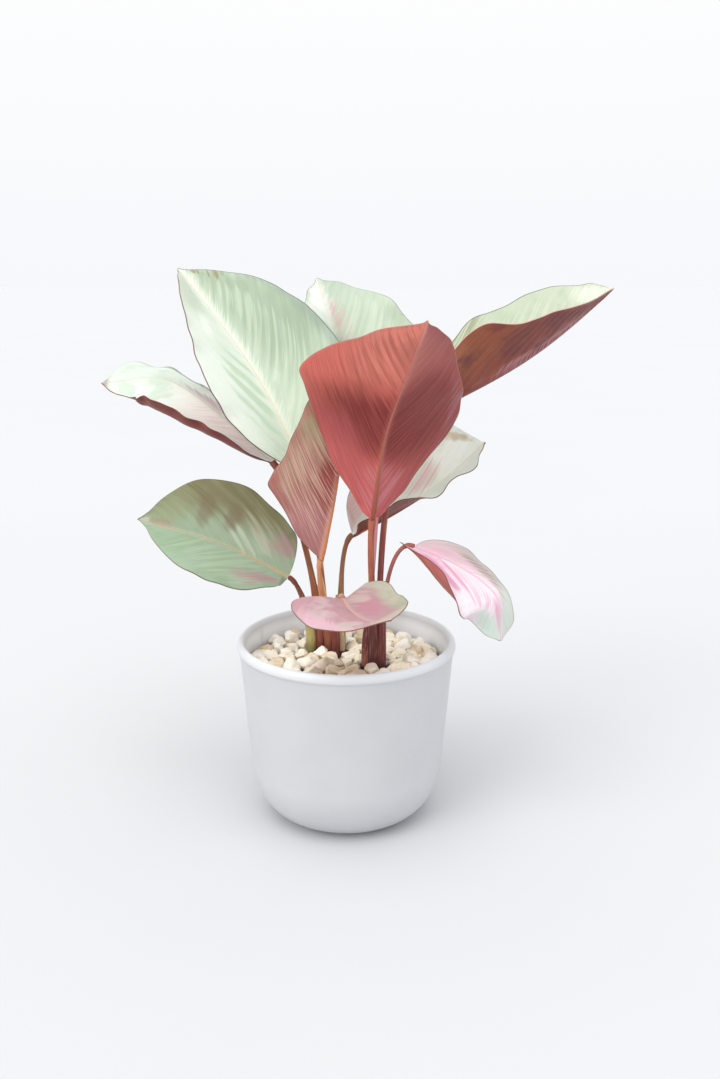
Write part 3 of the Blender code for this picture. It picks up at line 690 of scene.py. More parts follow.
def leaf_patterns(tree, known, seed):
    """Every noise and band of one leaf by its name."""
    on_leaf = add(tree, JOIN, known["along"], known["across"], seed)
    on_vein = add(tree, JOIN, known["vein"], known["across"], seed)
    cloud = grain(tree, on_leaf, 14.3, 14.3, 3.0)
    long = grain(tree, on_vein, 3.33, 28.6, 4.0)
    fine = grain(tree, on_vein, 1.11, 14.3, 3.0)
    uneven = add(tree, TIMES_PLUS, long, 1.4, -0.2)
    patterns = {"long": long, "fine": fine, "skin": grain(tree, on_leaf, 0.333, 0.333, 2.0)}
    for name, period, wander in (("bands", BAND_MM, 9.0), ("narrow", NARROW_BAND_MM, 6.0)):
        band = waves(tree, known["vein"], cloud, period, wander)
        patterns[name] = add(tree, TIMES_PLUS, band, 0.36, uneven)
    for name, source in (("streaks", long), ("flecks", fine), ("clouds", cloud)):
        patterns[name] = add(tree, TIMES_PLUS, source, 3.0, -1.0)
    hair = waves(tree, known["vein"], cloud, FINE_MM, 0.8)
    patterns["hair"] = add(tree, TIMES_PLUS, hair, 0.5, add(tree, TIMES_PLUS, fine, 3.0, -1.5))
    return patterns


print("bands run", BAND_MM, "and", NARROW_BAND_MM, "mm apart, and the finest veins", FINE_MM, "mm")

# %% [markdown]
# ## The colours of a leaf
# The colours lie in layers, as a painter would lay glazes: a ground for each half, then clouds, bands and
# streaks, and patches where the tissue lacks green. A layer fades out from a place of its own on the leaf.
# Over them go the lines: the fine veins, the midrib with its short feathers, and a thin margin.
# %% Layers of a leaf


def painted_layers(tree, known, patterns, look):
    """The ground of each half with the look's layers over it."""
    colour = tinted(tree, *look["ground"], known["reach"], -0.03, 0.03)
    ragged = add(tree, TIMES_PLUS, patterns["long"], 1.1, -0.55)
    lie = add(tree, JOIN, known["share"], known["reach"], 0.0)
    for kind, tint, *per_cent in look["layers"]:
        most, share, reach, long, wide = (number / 100 for number in per_cent)
        local = add(tree, SPOT, lie, Location=(share, reach, 0.0), Scale=(long, wide, 1.0))
        far = add(tree, FAR, local)
        if kind == "patch":
            colour = tinted(tree, colour, tint, add(tree, PLUS, far, ragged), 1.3, 0.45, most)
        else:
            shown = add(tree, PLUS, add(tree, EASE, far, 1.35, 0.35), patterns[kind])
            colour = tinted(tree, colour, tint, shown, 1.2, 1.75, most)
    return colour


def drawn_lines(tree, known, patterns, look, colour):
    """The fine veins, the feathers, the midrib and the margin over the colour."""
    dark, light, most = look["fine"]
    colour = tinted(tree, colour, dark, patterns["hair"], 0.1, -1.0, most)
    colour = tinted(tree, colour, light, patterns["hair"], 0.1, 1.0, 0.8 * most)
    off_rib = add(tree, SIZE, known["across"])
    if "feather" in look:
        tint, long_mm, most = look["feather"]
        wisps = add(tree, TIMES_PLUS, patterns["fine"], -2.2 * long_mm, off_rib)
        colour = tinted(tree, colour, tint, wisps, 0.0, -1.1 * long_mm, most)
    base_tint, tip_tint, base_mm, tip_mm = look["rib"]
    half_rib = add(tree, RANGE, known["share"], 0.0, 0.75, base_mm, tip_mm)
    rib_tint = add(tree, MIX, known["share"], base_tint, tip_tint)
    colour = tinted(tree, colour, rib_tint, add(tree, OVER, off_rib, half_rib), 1.3, 0.6)
    tint, margin_mm = look["edge"]
    return tinted(tree, colour, tint, known["edge"], margin_mm, 0.45 * margin_mm, 0.85)


print("a layer fades out round its place, and the lines lie over all layers")

# %% Leaf finish
WAX_ROUGHNESS, ROUGHNESS_SPREAD, BLOOM = 0.46, 0.06, 0.03


def leaf_skin(name, look, seed):
    """A waxy leaf surface painted from a look: satin, with raised fine veins and the faintest bloom."""
    def paint(tree):
        known = {label: add(tree, ("Attribute", {"attribute_name": label}, "Fac")) for label in KNOWN}
        patterns = leaf_patterns(tree, known, seed)
        colour = painted_layers(tree, known, patterns, look)
        colour = drawn_lines(tree, known, patterns, look, colour)
        middle = look.get("roughness", WAX_ROUGHNESS)
        roughness = add(tree, RANGE, patterns["skin"], 0.3, 0.7, middle - ROUGHNESS_SPREAD,
                        middle + ROUGHNESS_SPREAD)
        swell = add(tree, TIMES_PLUS, patterns["hair"], 0.00004, add(tree, TIMES, patterns["skin"], 0.0001))
        return colour, roughness, swell
    bloom = look.get("bloom", BLOOM)
    return finish(name, paint, {"IOR": 1.4, "Sheen Weight": bloom, "Sheen Roughness": 0.5})


print("leaf wax has a roughness of", WAX_ROUGHNESS)

# %% [markdown]
# ## What each leaf looks like
# No two leaves of this plant are alike. Young ones open pink and cream, old ones are olive and mint, and
# every underside is red, because it holds a red pigment that sends light back through the leaf. So each
# leaf has one look for its face and one for its underside. A layer is a pattern, a colour, and five numbers
# in per cent: how strong it is at most, where its middle lies (share of the length, reach across), and how
# far it spreads each way. Then come the lines: the rib's tints and half widths at base and tip, the
# feather's tint, length and strength, the fine veins' dark, light and strength, and the edge's tint and
# width, all widths in millimetres.
# %% Undersides that are shared


def plain_underside(ground, cloud, streak, fleck, rib, fine, edge):
    """The look of an even red underside from its colours."""
    return {
        "ground": ground, "layers": [
            ("clouds", cloud, 70, 50, 0, 90, 160), ("streaks", streak, 60, 60, 0, 70, 140),
            ("flecks", fleck, 50, 50, 0, 90, 160)],
        "rib": (*rib, 0.7, 0.2), "fine": (*fine, 0.35), "edge": (edge, 0.5)}


MAROON = plain_underside(("#8A4238", "#853D36"), "#6B2C2C", "#A85F4E", "#5E2626",
                         ("#B87A62", "#95534A"), ("#5A2626", "#B06A5C"), "#6E3A34")
ROSY = plain_underside(("#A0665E", "#9A5F58"), "#844A44", "#C0948A", "#74403C",
                       ("#CC9C84", "#A8746A"), ("#744240", "#C79A90"), "#785048")
PALE_FACE = {
    "ground": ("#B9C8AC", "#AEBFA0"), "layers": [
        ("clouds", "#9FB490", 70, 50, 0, 90, 160), ("bands", "#8CA47C", 80, 50, 0, 80, 130),
        ("streaks", "#D6DCC8", 60, 55, 0, 70, 120), ("flecks", "#CFAAA2", 60, 35, 20, 40, 90)],
    "rib": ("#D9DBC4", "#C9B6A4", 0.7, 0.2), "feather": ("#DDE2CC", 4.0, 0.7),
    "fine": ("#8FA481", "#D6DEC8", 0.25), "edge": ("#7E8A6C", 0.5)}
print("3 looks are shared: maroon and rosy undersides, and a pale face")

# %% Looks of the pale upper leaves
LOOKS = {}
LOOKS["blade_upper_left"] = {
    "face": {
        "ground": ("#DCE4D8", "#C0CDBA"), "layers": [
            ("clouds", "#CFDDCB", 60, 50, -50, 80, 80), ("patch", "#E6ECE2", 80, 45, -75, 40, 35),
            ("bands", "#BCD2B8", 90, 36, -30, 34, 42), ("patch", "#D3DECD", 70, 15, 30, 20, 60),
            ("patch", "#98AA93", 90, 68, 62, 34, 50), ("bands", "#93A68A", 50, 70, 60, 30, 50),
            ("narrow", "#B5C5AC", 30, 35, 60, 30, 50), ("patch", "#EEF2EA", 80, 72, -50, 6, 14),
            ("streaks", "#C6D2BE", 50, 60, 45, 40, 30), ("patch", "#A8B79F", 50, 88, -60, 12, 50),
            ("streaks", "#8F8662", 90, 93, 80, 7, 35), ("flecks", "#CDB3A2", 50, 94, 10, 10, 40),
            ("patch", "#8D9C8E", 70, 52, 100, 42, 13)],
        "rib": ("#E9E4D0", "#DCC8B8", 0.8, 0.25), "feather": ("#E8ECDF", 4.5, 0.85),
        "fine": ("#A9BCA2", "#E0E8DC", 0.14), "edge": ("#5C6654", 0.55)},
    "under": MAROON}
LOOKS["blade_top_back"] = {
    "face": {
        "ground": ("#BECBBC", "#B5C3B1"), "layers": [
            ("clouds", "#A9BAA2", 60, 50, 50, 60, 80), ("streaks", "#A6B89E", 60, 55, 60, 40, 70),
            ("patch", "#E3E9E2", 95, 86, -35, 20, 50), ("flecks", "#C98F97", 95, 72, 10, 20, 10),
            ("flecks", "#D2B0B0", 60, 70, 18, 22, 16), ("streaks", "#CDD6C8", 60, 60, 50, 40, 50)],
        "rib": ("#D3D8C4", "#DCC8C4", 0.6, 0.2), "feather": ("#DCE3D6", 3.0, 0.5),
        "fine": ("#9FB096", "#D3DCCF", 0.14), "edge": ("#6E7A68", 0.4)},
    "under": MAROON}
LOOKS["blade_left"] = {
    "face": {
        "ground": ("#DCE6DC", "#CEDBCE"), "layers": [
            ("clouds", "#B9CCBA", 60, 80, 0, 30, 130), ("patch", "#EEE8E4", 90, 25, -10, 34, 90),
            ("patch", "#BDB0AF", 60, 44, 25, 16, 20), ("flecks", "#A98F92", 80, 42, 30, 20, 30),
            ("flecks", "#D9C3C0", 60, 30, 0, 30, 40), ("patch", "#6C705E", 80, 64, 100, 20, 12),
            ("patch", "#7E5248", 90, 100, -30, 3.5, 100)],
        "rib": ("#CFCFC2", "#C9C2BA", 0.5, 0.2), "feather": ("#D3DACB", 3.0, 0.4),
        "fine": ("#A3B59F", "#D6DFD2", 0.12), "edge": ("#66705E", 0.45)},
    "under": {**MAROON, "ground": ("#74332B", "#74332B")}}
LOOKS["blade_middle_right"] = {
    "face": {
        "ground": ("#DDE2DA", "#D3D9CE"), "layers": [
            ("clouds", "#B7BFAC", 60, 50, -50, 60, 80), ("streaks", "#A9B5A0", 60, 70, -70, 30, 40),
            ("streaks", "#E2E2DA", 80, 60, -30, 50, 60), ("streaks", "#CC9498", 80, 52, -30, 24, 40),
            ("clouds", "#B09A78", 70, 90, -20, 10, 50), ("patch", "#C9A5A4", 80, 5, -90, 10, 60),
            ("flecks", "#C99A9C", 80, 10, -70, 15, 60)],
        "rib": ("#D6D5C6", "#CFC6B8", 0.4, 0.1), "feather": ("#DDE0D2", 3.0, 0.5),
        "fine": ("#A3AE98", "#DEE1D8", 0.15), "edge": ("#6A7264", 0.4)},
    "under": {**MAROON, "ground": ("#7F3F36", "#83402F")}}
print(len(LOOKS), "leaves have looks")

# %% Looks of the red leaves
LOOKS["blade_centre"] = {
    "face": PALE_FACE,
    "under": {
        # Painted light: one half of this underside is painted brighter than the other, and the salmon patches
        # near the tip and the margin brighter still, for light from above that shines through the leaf.
        "ground": ("#96443F", "#C9655A"), "layers": [
            ("clouds", "#B2544A", 60, 60, 50, 60, 70), ("patch", "#E98C7B", 85, 82, 40, 24, 80),
            ("patch", "#DB6F63", 70, 60, 90, 18, 35), ("patch", "#A85A54", 80, 80, -35, 20, 50),
            ("patch", "#762624", 95, 38, 5, 17, 95), ("patch", "#7A2825", 90, 50, -45, 20, 50),
            ("streaks", "#A9523F", 40, 70, 35, 30, 60), ("narrow", "#9E4A3E", 25, 75, 40, 25, 60),
            ("patch", "#B45356", 90, 8, 0, 16, 120), ("streaks", "#C08084", 60, 12, 0, 15, 100),
            ("streaks", "#A4606A", 60, 45, -90, 30, 15), ("flecks", "#7A4434", 25, 84, 10, 10, 30),
            ("patch", "#AE5356", 70, 27, 80, 15, 50)],
        "rib": ("#8E4632", "#D08A7E", 0.8, 0.16), "feather": ("#C8705F", 2.0, 0.3),
        "fine": ("#6A2220", "#D87C6E", 0.38), "edge": ("#B07A72", 0.35), "roughness": 0.44}}
LOOKS["blade_centre_left"] = {
    "face": {**PALE_FACE, "ground": ("#CDBBAE", "#B9C2A4")},
    "under": {
        "ground": ("#9A4A44", "#AC8070"), "layers": [
            ("streaks", "#8A4A42", 70, 45, 30, 40, 70), ("patch", "#94694C", 85, 90, 30, 16, 90),
            ("clouds", "#9A8E6C", 80, 70, 50, 35, 60), ("streaks", "#A39C7E", 60, 45, 75, 20, 30),
            ("patch", "#B0767A", 80, 14, 40, 20, 80), ("patch", "#8A342F", 90, 44, 12, 20, 20),
            ("flecks", "#D0A89A", 60, 40, 50, 40, 70), ("patch", "#96504E", 70, 36, 98, 12, 20)],
        "rib": ("#CF8A5E", "#C07C6C", 0.75, 0.2), "feather": ("#D3A894", 2.0, 0.4),
        "fine": ("#74382F", "#D8B49E", 0.34), "edge": ("#7E5A44", 0.45)}}
LOOKS["blade_upper_right"] = {
    "face": {
        "ground": ("#B6C0AB", "#ADB79E"), "layers": [
            ("clouds", "#A6B297", 60, 50, 0, 60, 130), ("streaks", "#C4CDBB", 60, 60, 0, 60, 120),
            ("streaks", "#8A8A66", 80, 25, -95, 30, 25), ("patch", "#D8DCD0", 70, 92, -30, 8, 60)],
        "rib": ("#CDD2BA", "#C6BFA6", 0.6, 0.2), "feather": ("#CFD8BE", 3.0, 0.5),
        "fine": ("#98A48A", "#C8D0BC", 0.15), "edge": ("#4E4A3C", 0.6)},
    "under": {
        "ground": ("#82342E", "#82342A"), "layers": [
            ("patch", "#A4582F", 95, 34, 60, 20, 70), ("patch", "#B86E4A", 80, 14, 80, 10, 40),
            ("patch", "#8A3B2C", 80, 46, 20, 20, 30), ("streaks", "#A2686A", 70, 72, 22, 30, 22),
            ("flecks", "#CFA0A2", 90, 62, 13, 40, 10), ("clouds", "#6A2A2A", 70, 60, 50, 50, 80),
            ("flecks", "#5C2424", 60, 55, 40, 80, 90), ("flecks", "#C08E94", 60, 60, 6, 50, 12),
            ("patch", "#5E2A28", 70, 3, 0, 10, 60)],
        "rib": ("#8A5054", "#A27078", 0.5, 0.25), "fine": ("#561F1F", "#A8635A", 0.4),
        "edge": ("#D2B4A4", 0.3), "roughness": 0.44}}
print(len(LOOKS), "leaves have looks")

# %% Looks of the low leaves
LOOKS["blade_lower_left"] = {
    "face": {
        "ground": ("#93A88F", "#95A68C"), "layers": [
            # The dark olive-brown patches and bands on the upper half are partly the leaf's own brown and
            # partly painted shade.
            ("patch", "#787350", 95, 56, 90, 46, 55), ("patch", "#807A58", 60, 20, 95, 20, 30),
            ("clouds", "#86A07E", 60, 50, -50, 60, 70), ("streaks", "#AEC0A7", 40, 40, -40, 50, 60),
            ("bands", "#665D3A", 45, 55, 80, 40, 40), ("streaks", "#B9C2AC", 70, 30, 25, 20, 30),
            ("streaks", "#A89C88", 50, 25, 50, 20, 40), ("clouds", "#A58A7C", 80, 10, 70, 16, 40),
            ("patch", "#75634A", 60, 62, 50, 5, 35), ("patch", "#75624A", 70, 46, 45, 5, 22),
            ("streaks", "#A5808A", 80, 12, 55, 14, 40), ("flecks", "#A8848A", 95, 22, -60, 24, 35),
            ("flecks", "#A06870", 95, 86, 8, 10, 20), ("patch", "#B5907F", 50, 85, 2, 8, 14),
            ("patch", "#8E9470", 70, 86, 50, 16, 50), ("patch", "#C2C2B0", 80, 96, 20, 3.5, 40)],
        "rib": ("#C6A27C", "#A47A70", 0.5, 0.08), "feather": ("#B5BCA0", 2.0, 0.4),
        "fine": ("#76866A", "#B5C4AA", 0.16), "edge": ("#4E5A40", 0.45)},
    "under": ROSY}
LOOKS["blade_lower_right"] = {
    "face": {
        "bloom": 0.08, "ground": ("#CDB6BC", "#E6D3DB"), "layers": [
            ("clouds", "#DDAAC0", 85, 12, 30, 26, 90), ("streaks", "#D48CB0", 80, 28, 35, 30, 40),
            ("clouds", "#EFE6E9", 85, 60, 50, 25, 70), ("patch", "#A9A29E", 70, 50, -85, 34, 35),
            ("streaks", "#8E8C7C", 90, 50, -60, 32, 30), ("streaks", "#EDE4E8", 85, 55, -20, 40, 25),
            ("streaks", "#D2A0B6", 70, 30, -30, 30, 30), ("streaks", "#DB9CBB", 60, 62, 30, 20, 30),
            ("patch", "#C6D8CC", 95, 93, 40, 16, 100), ("patch", "#D890B2", 80, 80, 8, 14, 8),
            ("clouds", "#BFD0C2", 70, 80, 70, 15, 40), ("patch", "#C9D8CC", 80, 82, -70, 20, 50)],
        "rib": ("#D9A5B8", "#D68FB0", 0.4, 0.12), "feather": ("#E6D0DA", 3.0, 0.4),
        "fine": ("#C08CA4", "#EFE0E8", 0.14), "edge": ("#5E6E5E", 0.4)},
    "under": {
        "ground": ("#A8625C", "#A45A52"), "layers": [
            ("streaks", "#8A443E", 70, 40, 30, 60, 80), ("flecks", "#C08884", 60, 50, 20, 60, 90)],
        "rib": ("#C99484", "#B07A74", 0.6, 0.2),
        "fine": ("#7A3E3A", "#C48E88", 0.35), "edge": ("#7E4440", 0.5)}}
LOOKS["blade_low_front"] = {
    "face": {
        "ground": ("#B08E93", "#B68C94"), "layers": [
            ("clouds", "#A87E86", 70, 40, 40, 60, 80), ("clouds", "#CDAAB2", 90, 35, 60, 40, 50),
            ("clouds", "#D8BAC4", 80, 60, 50, 40, 60), ("patch", "#D8B4C2", 80, 60, 85, 30, 25),
            ("patch", "#B4B6A4", 95, 50, -95, 60, 35), ("patch", "#BDBBAA", 80, 92, -30, 12, 120),
            ("clouds", "#A2A58E", 70, 55, -80, 40, 40), ("clouds", "#B87D8C", 70, 42, -40, 34, 40),
            ("clouds", "#BDB2AB", 70, 45, 60, 40, 35), ("clouds", "#B3B3A3", 60, 75, 50, 20, 50),
            ("patch", "#C79AA6", 60, 10, 85, 20, 30), ("streaks", "#C3B3AC", 70, 20, -30, 20, 40)],
        "rib": ("#D3A48C", "#CFA8A4", 0.5, 0.15), "feather": ("#D3B2B0", 2.0, 0.4),
        "fine": ("#8A626C", "#D8BCC4", 0.05), "edge": ("#5E6450", 0.45)},
    "under": ROSY}
print(len(LOOKS), "leaves have looks")

# %% [markdown]
# ## Ten leaves
# A real blade is thinner than half a millimetre, and its midrib stands out below. Solidify gives both at
# once: a thickness that follows a weight on each point, most along the rib. The new lower side takes the
# second finish of the two.
# %% Make the leaves
LEAF_THICKNESS, RIB_THICKNESS = 0.42, 1.6
RIB_HALF_WIDTH, RIB_TAPER, LEAST_WEIGHT = 0.95, 0.8, 0.02
for number, (node, leaf) in enumerate(LEAVES.items()):
    name = node.replace("blade_", "") + "_leaf"
    points, known = leaf_points(leaf, number)
    seed = 2.0 * list(LOOKS).index(node)
    under = leaf_skin(name + " under", LOOKS[node]["under"], seed + 2.0)
    face = leaf_skin(name + " face", LOOKS[node]["face"], seed + 1.0)
    leaf_made = new_object(name, grid_mesh(name, points, known), [under, face])
    group = leaf_made.vertex_groups.new(name="midrib")
    across, share = (np.empty(len(leaf_made.data.vertices)) for _ in range(2))
    leaf_made.data.attributes["across"].data.foreach_get("value", across)
    leaf_made.data.attributes["share"].data.foreach_get("value", share)
    for index, weight in enumerate(np.exp(-(across / RIB_HALF_WIDTH) ** 2) * (1 - RIB_TAPER * share)):
        if weight > LEAST_WEIGHT:
            group.add([index], float(weight), "REPLACE")
    body = leaf_made.modifiers.new("Thickness", "SOLIDIFY")
    body.thickness = RIB_THICKNESS * MM
    body.offset = 1.0
    body.vertex_group = "midrib"
    body.thickness_vertex_group = LEAF_THICKNESS / RIB_THICKNESS
    body.material_offset = 1
    settle(leaf_made)
    dress(leaf_made, SLOTS[node], node)

# %% [markdown]
# ## Stalks
# Each leaf stands on a long stalk that clasps its neighbours in the pot and swells to a small joint under
# the blade. A stalk is a tube swept along a Bezier curve, with the CAD's own ends. The real one is no plain
# pipe: it has a shallow channel down its front, so its section is drawn as a radius for each direction.
# %% Numbers of the stalks
# Foot on the gravel, radii at foot and top, how far it runs upright and how far it leads into the blade,
# the sheath's height and the way it looks in degrees, and the skin's colours at base, middle and top.
Stalk = namedtuple("Stalk", "foot radii upright lead sheath tones")
SHOOTS = {
    "left_shoot_stems": {
        "lower_left": Stalk((-18.4, 10.5), (2.6, 1.0), 14, 6, None, ("#B8B070", "#7A4A38", "#7B3E38")),
        "left": Stalk((-13.9, 12.0), (2.9, 1.5), 30, 12, None, ("#8A4A3A", "#A5663F", "#7E3B2C")),
        "upper_left": Stalk((-11.5, 15.0), (2.7, 1.5), 25, 15, (44, -110), ("#7A3B34", "#A4623C", "#8A4630")),
        "centre_left": Stalk((-9.2, 10.5), (2.7, 1.3), 14, 12, None, ("#96573F", "#B9754C", "#D08F66")),
        "low_front": Stalk((-5.8, 8.5), (2.3, 1.0), 18, 12, None, ("#7E3B38", "#A0645A", "#C99184")),
        "middle_right": Stalk((-3.0, 12.0), (2.4, 1.2), 20, 8, (24, -140), ("#8F7A48", "#9A6A40", "#8A5636")),
    },
    "right_shoot_stems": {
        "top_back": Stalk((10.8, -10.5), (2.9, 1.2), 40, 25, (40, -60), ("#5A2A2C", "#C88492", "#A8664E")),
        "centre": Stalk((13.6, -13.2), (3.0, 1.5), 25, 15, None, ("#5A2A2C", "#7E3A30", "#A85E48")),
        "upper_right": Stalk((16.0, -10.8), (3.0, 1.5), 60, 20, None, ("#5A2A2C", "#7A3530", "#96503E")),
        "lower_right": Stalk((17.2, -13.4), (2.5, 1.0), 42, 10, None, ("#6A3032", "#7E3A36", "#9A5048")),
    },
}
# The sheaths' colours low down and above.
SHEATHS = {"upper_left": ("#E6D9BE", "#D9BFA0"), "middle_right": ("#D9C7A4", "#B99A78"),
           "top_back": ("#6A2F34", "#DDA0AA")}
print(sum(len(stalks) for stalks in SHOOTS.values()), "stalks and", len(SHEATHS), "sheaths")

# %% Line and thickness of a stalk
STALK_FOOT, STALK_CLEAR, STALK_BURIED, SEAT = 52.0, 86.0, 10.0, 0.5
STALK_RINGS = 64
TAPER_HEIGHT, JOINT_LENGTH, JOINT_EASE, JOINT_SWELL = 40.0, 6.0, 2.5, 1.25


def stalk_line(stalk, leaf):
    """Points of a stalk's middle in millimetres: upright in the soil, then a Bezier curve to its blade."""
    start = np.array([*stalk.foot, STALK_CLEAR], float)
    rib = np.array(leaf["rib"], float)
    lead = unit(through(rib, np.array([NUDGE]))[0] - rib[0])
    end = rib[0] - lead * SEAT
    ease = np.linspace(0, 1, STALK_RINGS)[:, None]
    line = (1 - ease) ** 3 * start + 3 * ease * (1 - ease) ** 2 * (start + (0, 0, stalk.upright))
    line = line + 3 * ease ** 2 * (1 - ease) * (end - lead * stalk.lead) + ease ** 3 * end
    return np.vstack([[(*stalk.foot, STALK_FOOT)], [(*stalk.foot, STALK_CLEAR - STALK_BURIED)], line])


def stalk_radii(stalk, heights, to_end):
    """Thick at the foot, slim above, with the swollen joint under the blade."""
    foot, top = stalk.radii
    radii = foot + (top - foot) * smooth((heights - STALK_CLEAR) / TAPER_HEIGHT)
    return radii * (1 + (JOINT_SWELL - 1) * smooth((JOINT_LENGTH - to_end) / JOINT_EASE))


tallest = stalk_line(SHOOTS["right_shoot_stems"]["upper_right"], LEAVES["blade_upper_right"])
print("the tallest stalk ends at", np.round(tallest[-1], 1), "mm")

# %% Sweep a stalk
STALK_SIDES = 24
CHANNEL_DEPTH, CHANNEL_ANGLE, CHANNEL_WIDTH = 0.10, 4.6, 0.45


def known_point(bm, labels, place, **known):
    """A new point in bm at a place in millimetres, with what is known of it."""
    vert = bm.verts.new(place * MM)
    for label, value in known.items():
        vert[labels[label]] = value
    return vert


def add_stalk(bm, labels, stalk, leaf, slot):
    """Rings of points round the stalk's line, skinned and capped in bm."""
    line = stalk_line(stalk, leaf)
    steps = np.linalg.norm(np.diff(line, axis=0), axis=1)
    gone = np.concatenate([[0], np.cumsum(steps)])
    radii = stalk_radii(stalk, line[:, 2], gone[-1] - gone)
    tangents = unit(np.gradient(line, axis=0))
    across = Vector((1, 0, 0))
    rings = []
    for point, tangent, radius, share in zip(line, tangents, radii, gone / gone[-1]):
        tangent = Vector(tangent)
        across = (across - tangent * across.dot(tangent)).normalized()
        ring = []
        for side in range(STALK_SIDES):
            angle = math.tau * side / STALK_SIDES
            channel = 1 - CHANNEL_DEPTH * math.exp(-((angle - CHANNEL_ANGLE) / CHANNEL_WIDTH) ** 2)
            way = Matrix.Rotation(angle, 3, tangent) @ across
            ring.append(known_point(bm, labels, Vector(point) + way * radius * channel,
                                    height=point[2] - STALK_CLEAR, round=math.cos(angle), gone=share))
        rings.append(ring)
    for low, high in zip(rings, rings[1:]):
        for side in range(STALK_SIDES):
            after = (side + 1) % STALK_SIDES
            face = bm.faces.new((low[side], low[after], high[after], high[side]))
            face.material_index = slot
    for cap in (rings[0][::-1], rings[-1]):
        bm.faces.new(cap).material_index = slot


print("a stalk has", STALK_RINGS + 2, "rings of", STALK_SIDES, "points")

# %% [markdown]
# ## Sheaths
# The foot of a stalk widens into a papery sheath that wraps the next one. It dries to cream or stays pink.
# It is a half tube that narrows to a tip, given a thickness of half a millimetre and a wavy, standing-off
# margin.
# %% Sheath
SHEATH_ROOT, SHEATH_SPREAD, SHEATH_NARROWS = 5.0, 95.0, 0.97
SHEATH_ROWS, SHEATH_COLUMNS = 36, 18
INNER_GAP, OUTER_GAP, FLARE = 0.25, 0.75, 0.5
FAR_FROM_JOINT = 99.0


def edge_of(rows):
    """The points round a skin's edge, in order."""
    return rows[0] + [row[-1] for row in rows[1:]] + rows[-1][-2::-1] + [row[0] for row in rows[-2:0:-1]]


def add_sheath(bm, labels, stalk, leaf, slot):
    """Two skins half a millimetre apart, joined along their edges, in bm."""
    height, look = stalk.sheath
    line = stalk_line(stalk, leaf)
    skins = []
    for gap in (INNER_GAP, OUTER_GAP):
        rows = []
        for row in range(SHEATH_ROWS + 1):
            share = row / SHEATH_ROWS
            level = STALK_CLEAR - SHEATH_ROOT + (height + SHEATH_ROOT) * share
            middle = Vector([np.interp(level, line[:, 2], line[:, i]) for i in (0, 1, 2)])
            radius = stalk_radii(stalk, level, FAR_FROM_JOINT)
            narrow = math.cos(math.pi / 2 * SHEATH_NARROWS * share)
            verts = []
            for column in range(SHEATH_COLUMNS + 1):
                across = 2 * column / SHEATH_COLUMNS - 1
                turn = math.radians(look + across * SHEATH_SPREAD * narrow)
                flare = FLARE * abs(across) ** 4 * share * (1.2 + math.sin(9 * share + 2 * across))
                out = Vector((math.cos(turn), math.sin(turn), 0)) * (radius + gap + flare)
                verts.append(known_point(bm, labels, middle + out, height=level - STALK_CLEAR, round=across,
                                         gone=share))
            rows.append(verts)
        skins.append(rows)
    inner, outer = skins
    for rows, order in ((outer, 1), (inner, -1)):
        for low, high in zip(rows, rows[1:]):
            for column in range(SHEATH_COLUMNS):
                quad = (low[column], low[column + 1], high[column + 1], high[column])
                bm.faces.new(quad[::order]).material_index = slot
    inner_edge, outer_edge = edge_of(inner), edge_of(outer)
    for i in range(len(outer_edge)):
        after = (i + 1) % len(outer_edge)
        quad = (outer_edge[i], inner_edge[i], inner_edge[after], outer_edge[after])
        bm.faces.new(quad).material_index = slot


print("a sheath wraps", 2 * SHEATH_SPREAD, "degrees of its stalk at the foot")

# %% [markdown]
# ## Skin of a stalk
# It is smooth and satin, green where young, and flushed red or brown by the same pigment as the undersides.
# Fine fibres run its whole length, and the base is darker where it comes out of the stones.
# %% Stalk and sheath finishes
STALK_KNOWN = ("height", "round", "gone")


def stalk_skin(name, tones, papery=False):
    """Tones from base to top, three on a stalk and two on a papery sheath, with fibres along it."""
    def paint(tree):
        known = {label: add(tree, ("Attribute", {"attribute_name": label}, "Fac")) for label in STALK_KNOWN}
        place = add(tree, JOIN, known["round"], known["gone"], 0.0)
        # Seven fibres to half the width: about 0.4 mm each at the foot.
        spread = add(tree, STRETCH, place, Scale=(7.0, 9.0, 1.0))
        fibre = add(tree, NOISE, spread, 1.0, 4.0)
        flush = add(tree, STRETCH, place, Scale=(1.2, 6.0, 1.0))
        cloud = add(tree, NOISE, flush, 1.0, 2.0)
        if papery:
            colour = tinted(tree, *tones, known["height"], 14.0, 28.0)
            colour = tinted(tree, colour, "#B9906C", fibre, 0.5, 0.68, 0.5)
            colour = tinted(tree, colour, "#9A6A50", known["height"], 6.0, -1.0, 0.45)
            return colour, add(tree, EASE, fibre, -0.6, 0.9, 0.0, 0.75), add(tree, TIMES, fibre, 0.0003)
        colour = tinted(tree, tones[0], tones[1], known["height"], 2.0, 38.0)
        colour = tinted(tree, colour, tones[2], known["gone"], 0.5, 1.0)
        colour = tinted(tree, colour, "#4E2224", cloud, 0.5, 0.7, 0.45)
        colour = tinted(tree, colour, "#D9A884", fibre, 0.52, 0.72, 0.45)
        colour = tinted(tree, colour, "#3E1F1E", known["height"], 3.0, -3.0, 0.5)
        return colour, add(tree, EASE, cloud, -1.2, 1.2, 0.0, 0.62), add(tree, TIMES, fibre, 0.00012)
    return finish(name, paint, {"IOR": 1.45})


print("each point of a stalk keeps its", ", ".join(STALK_KNOWN))

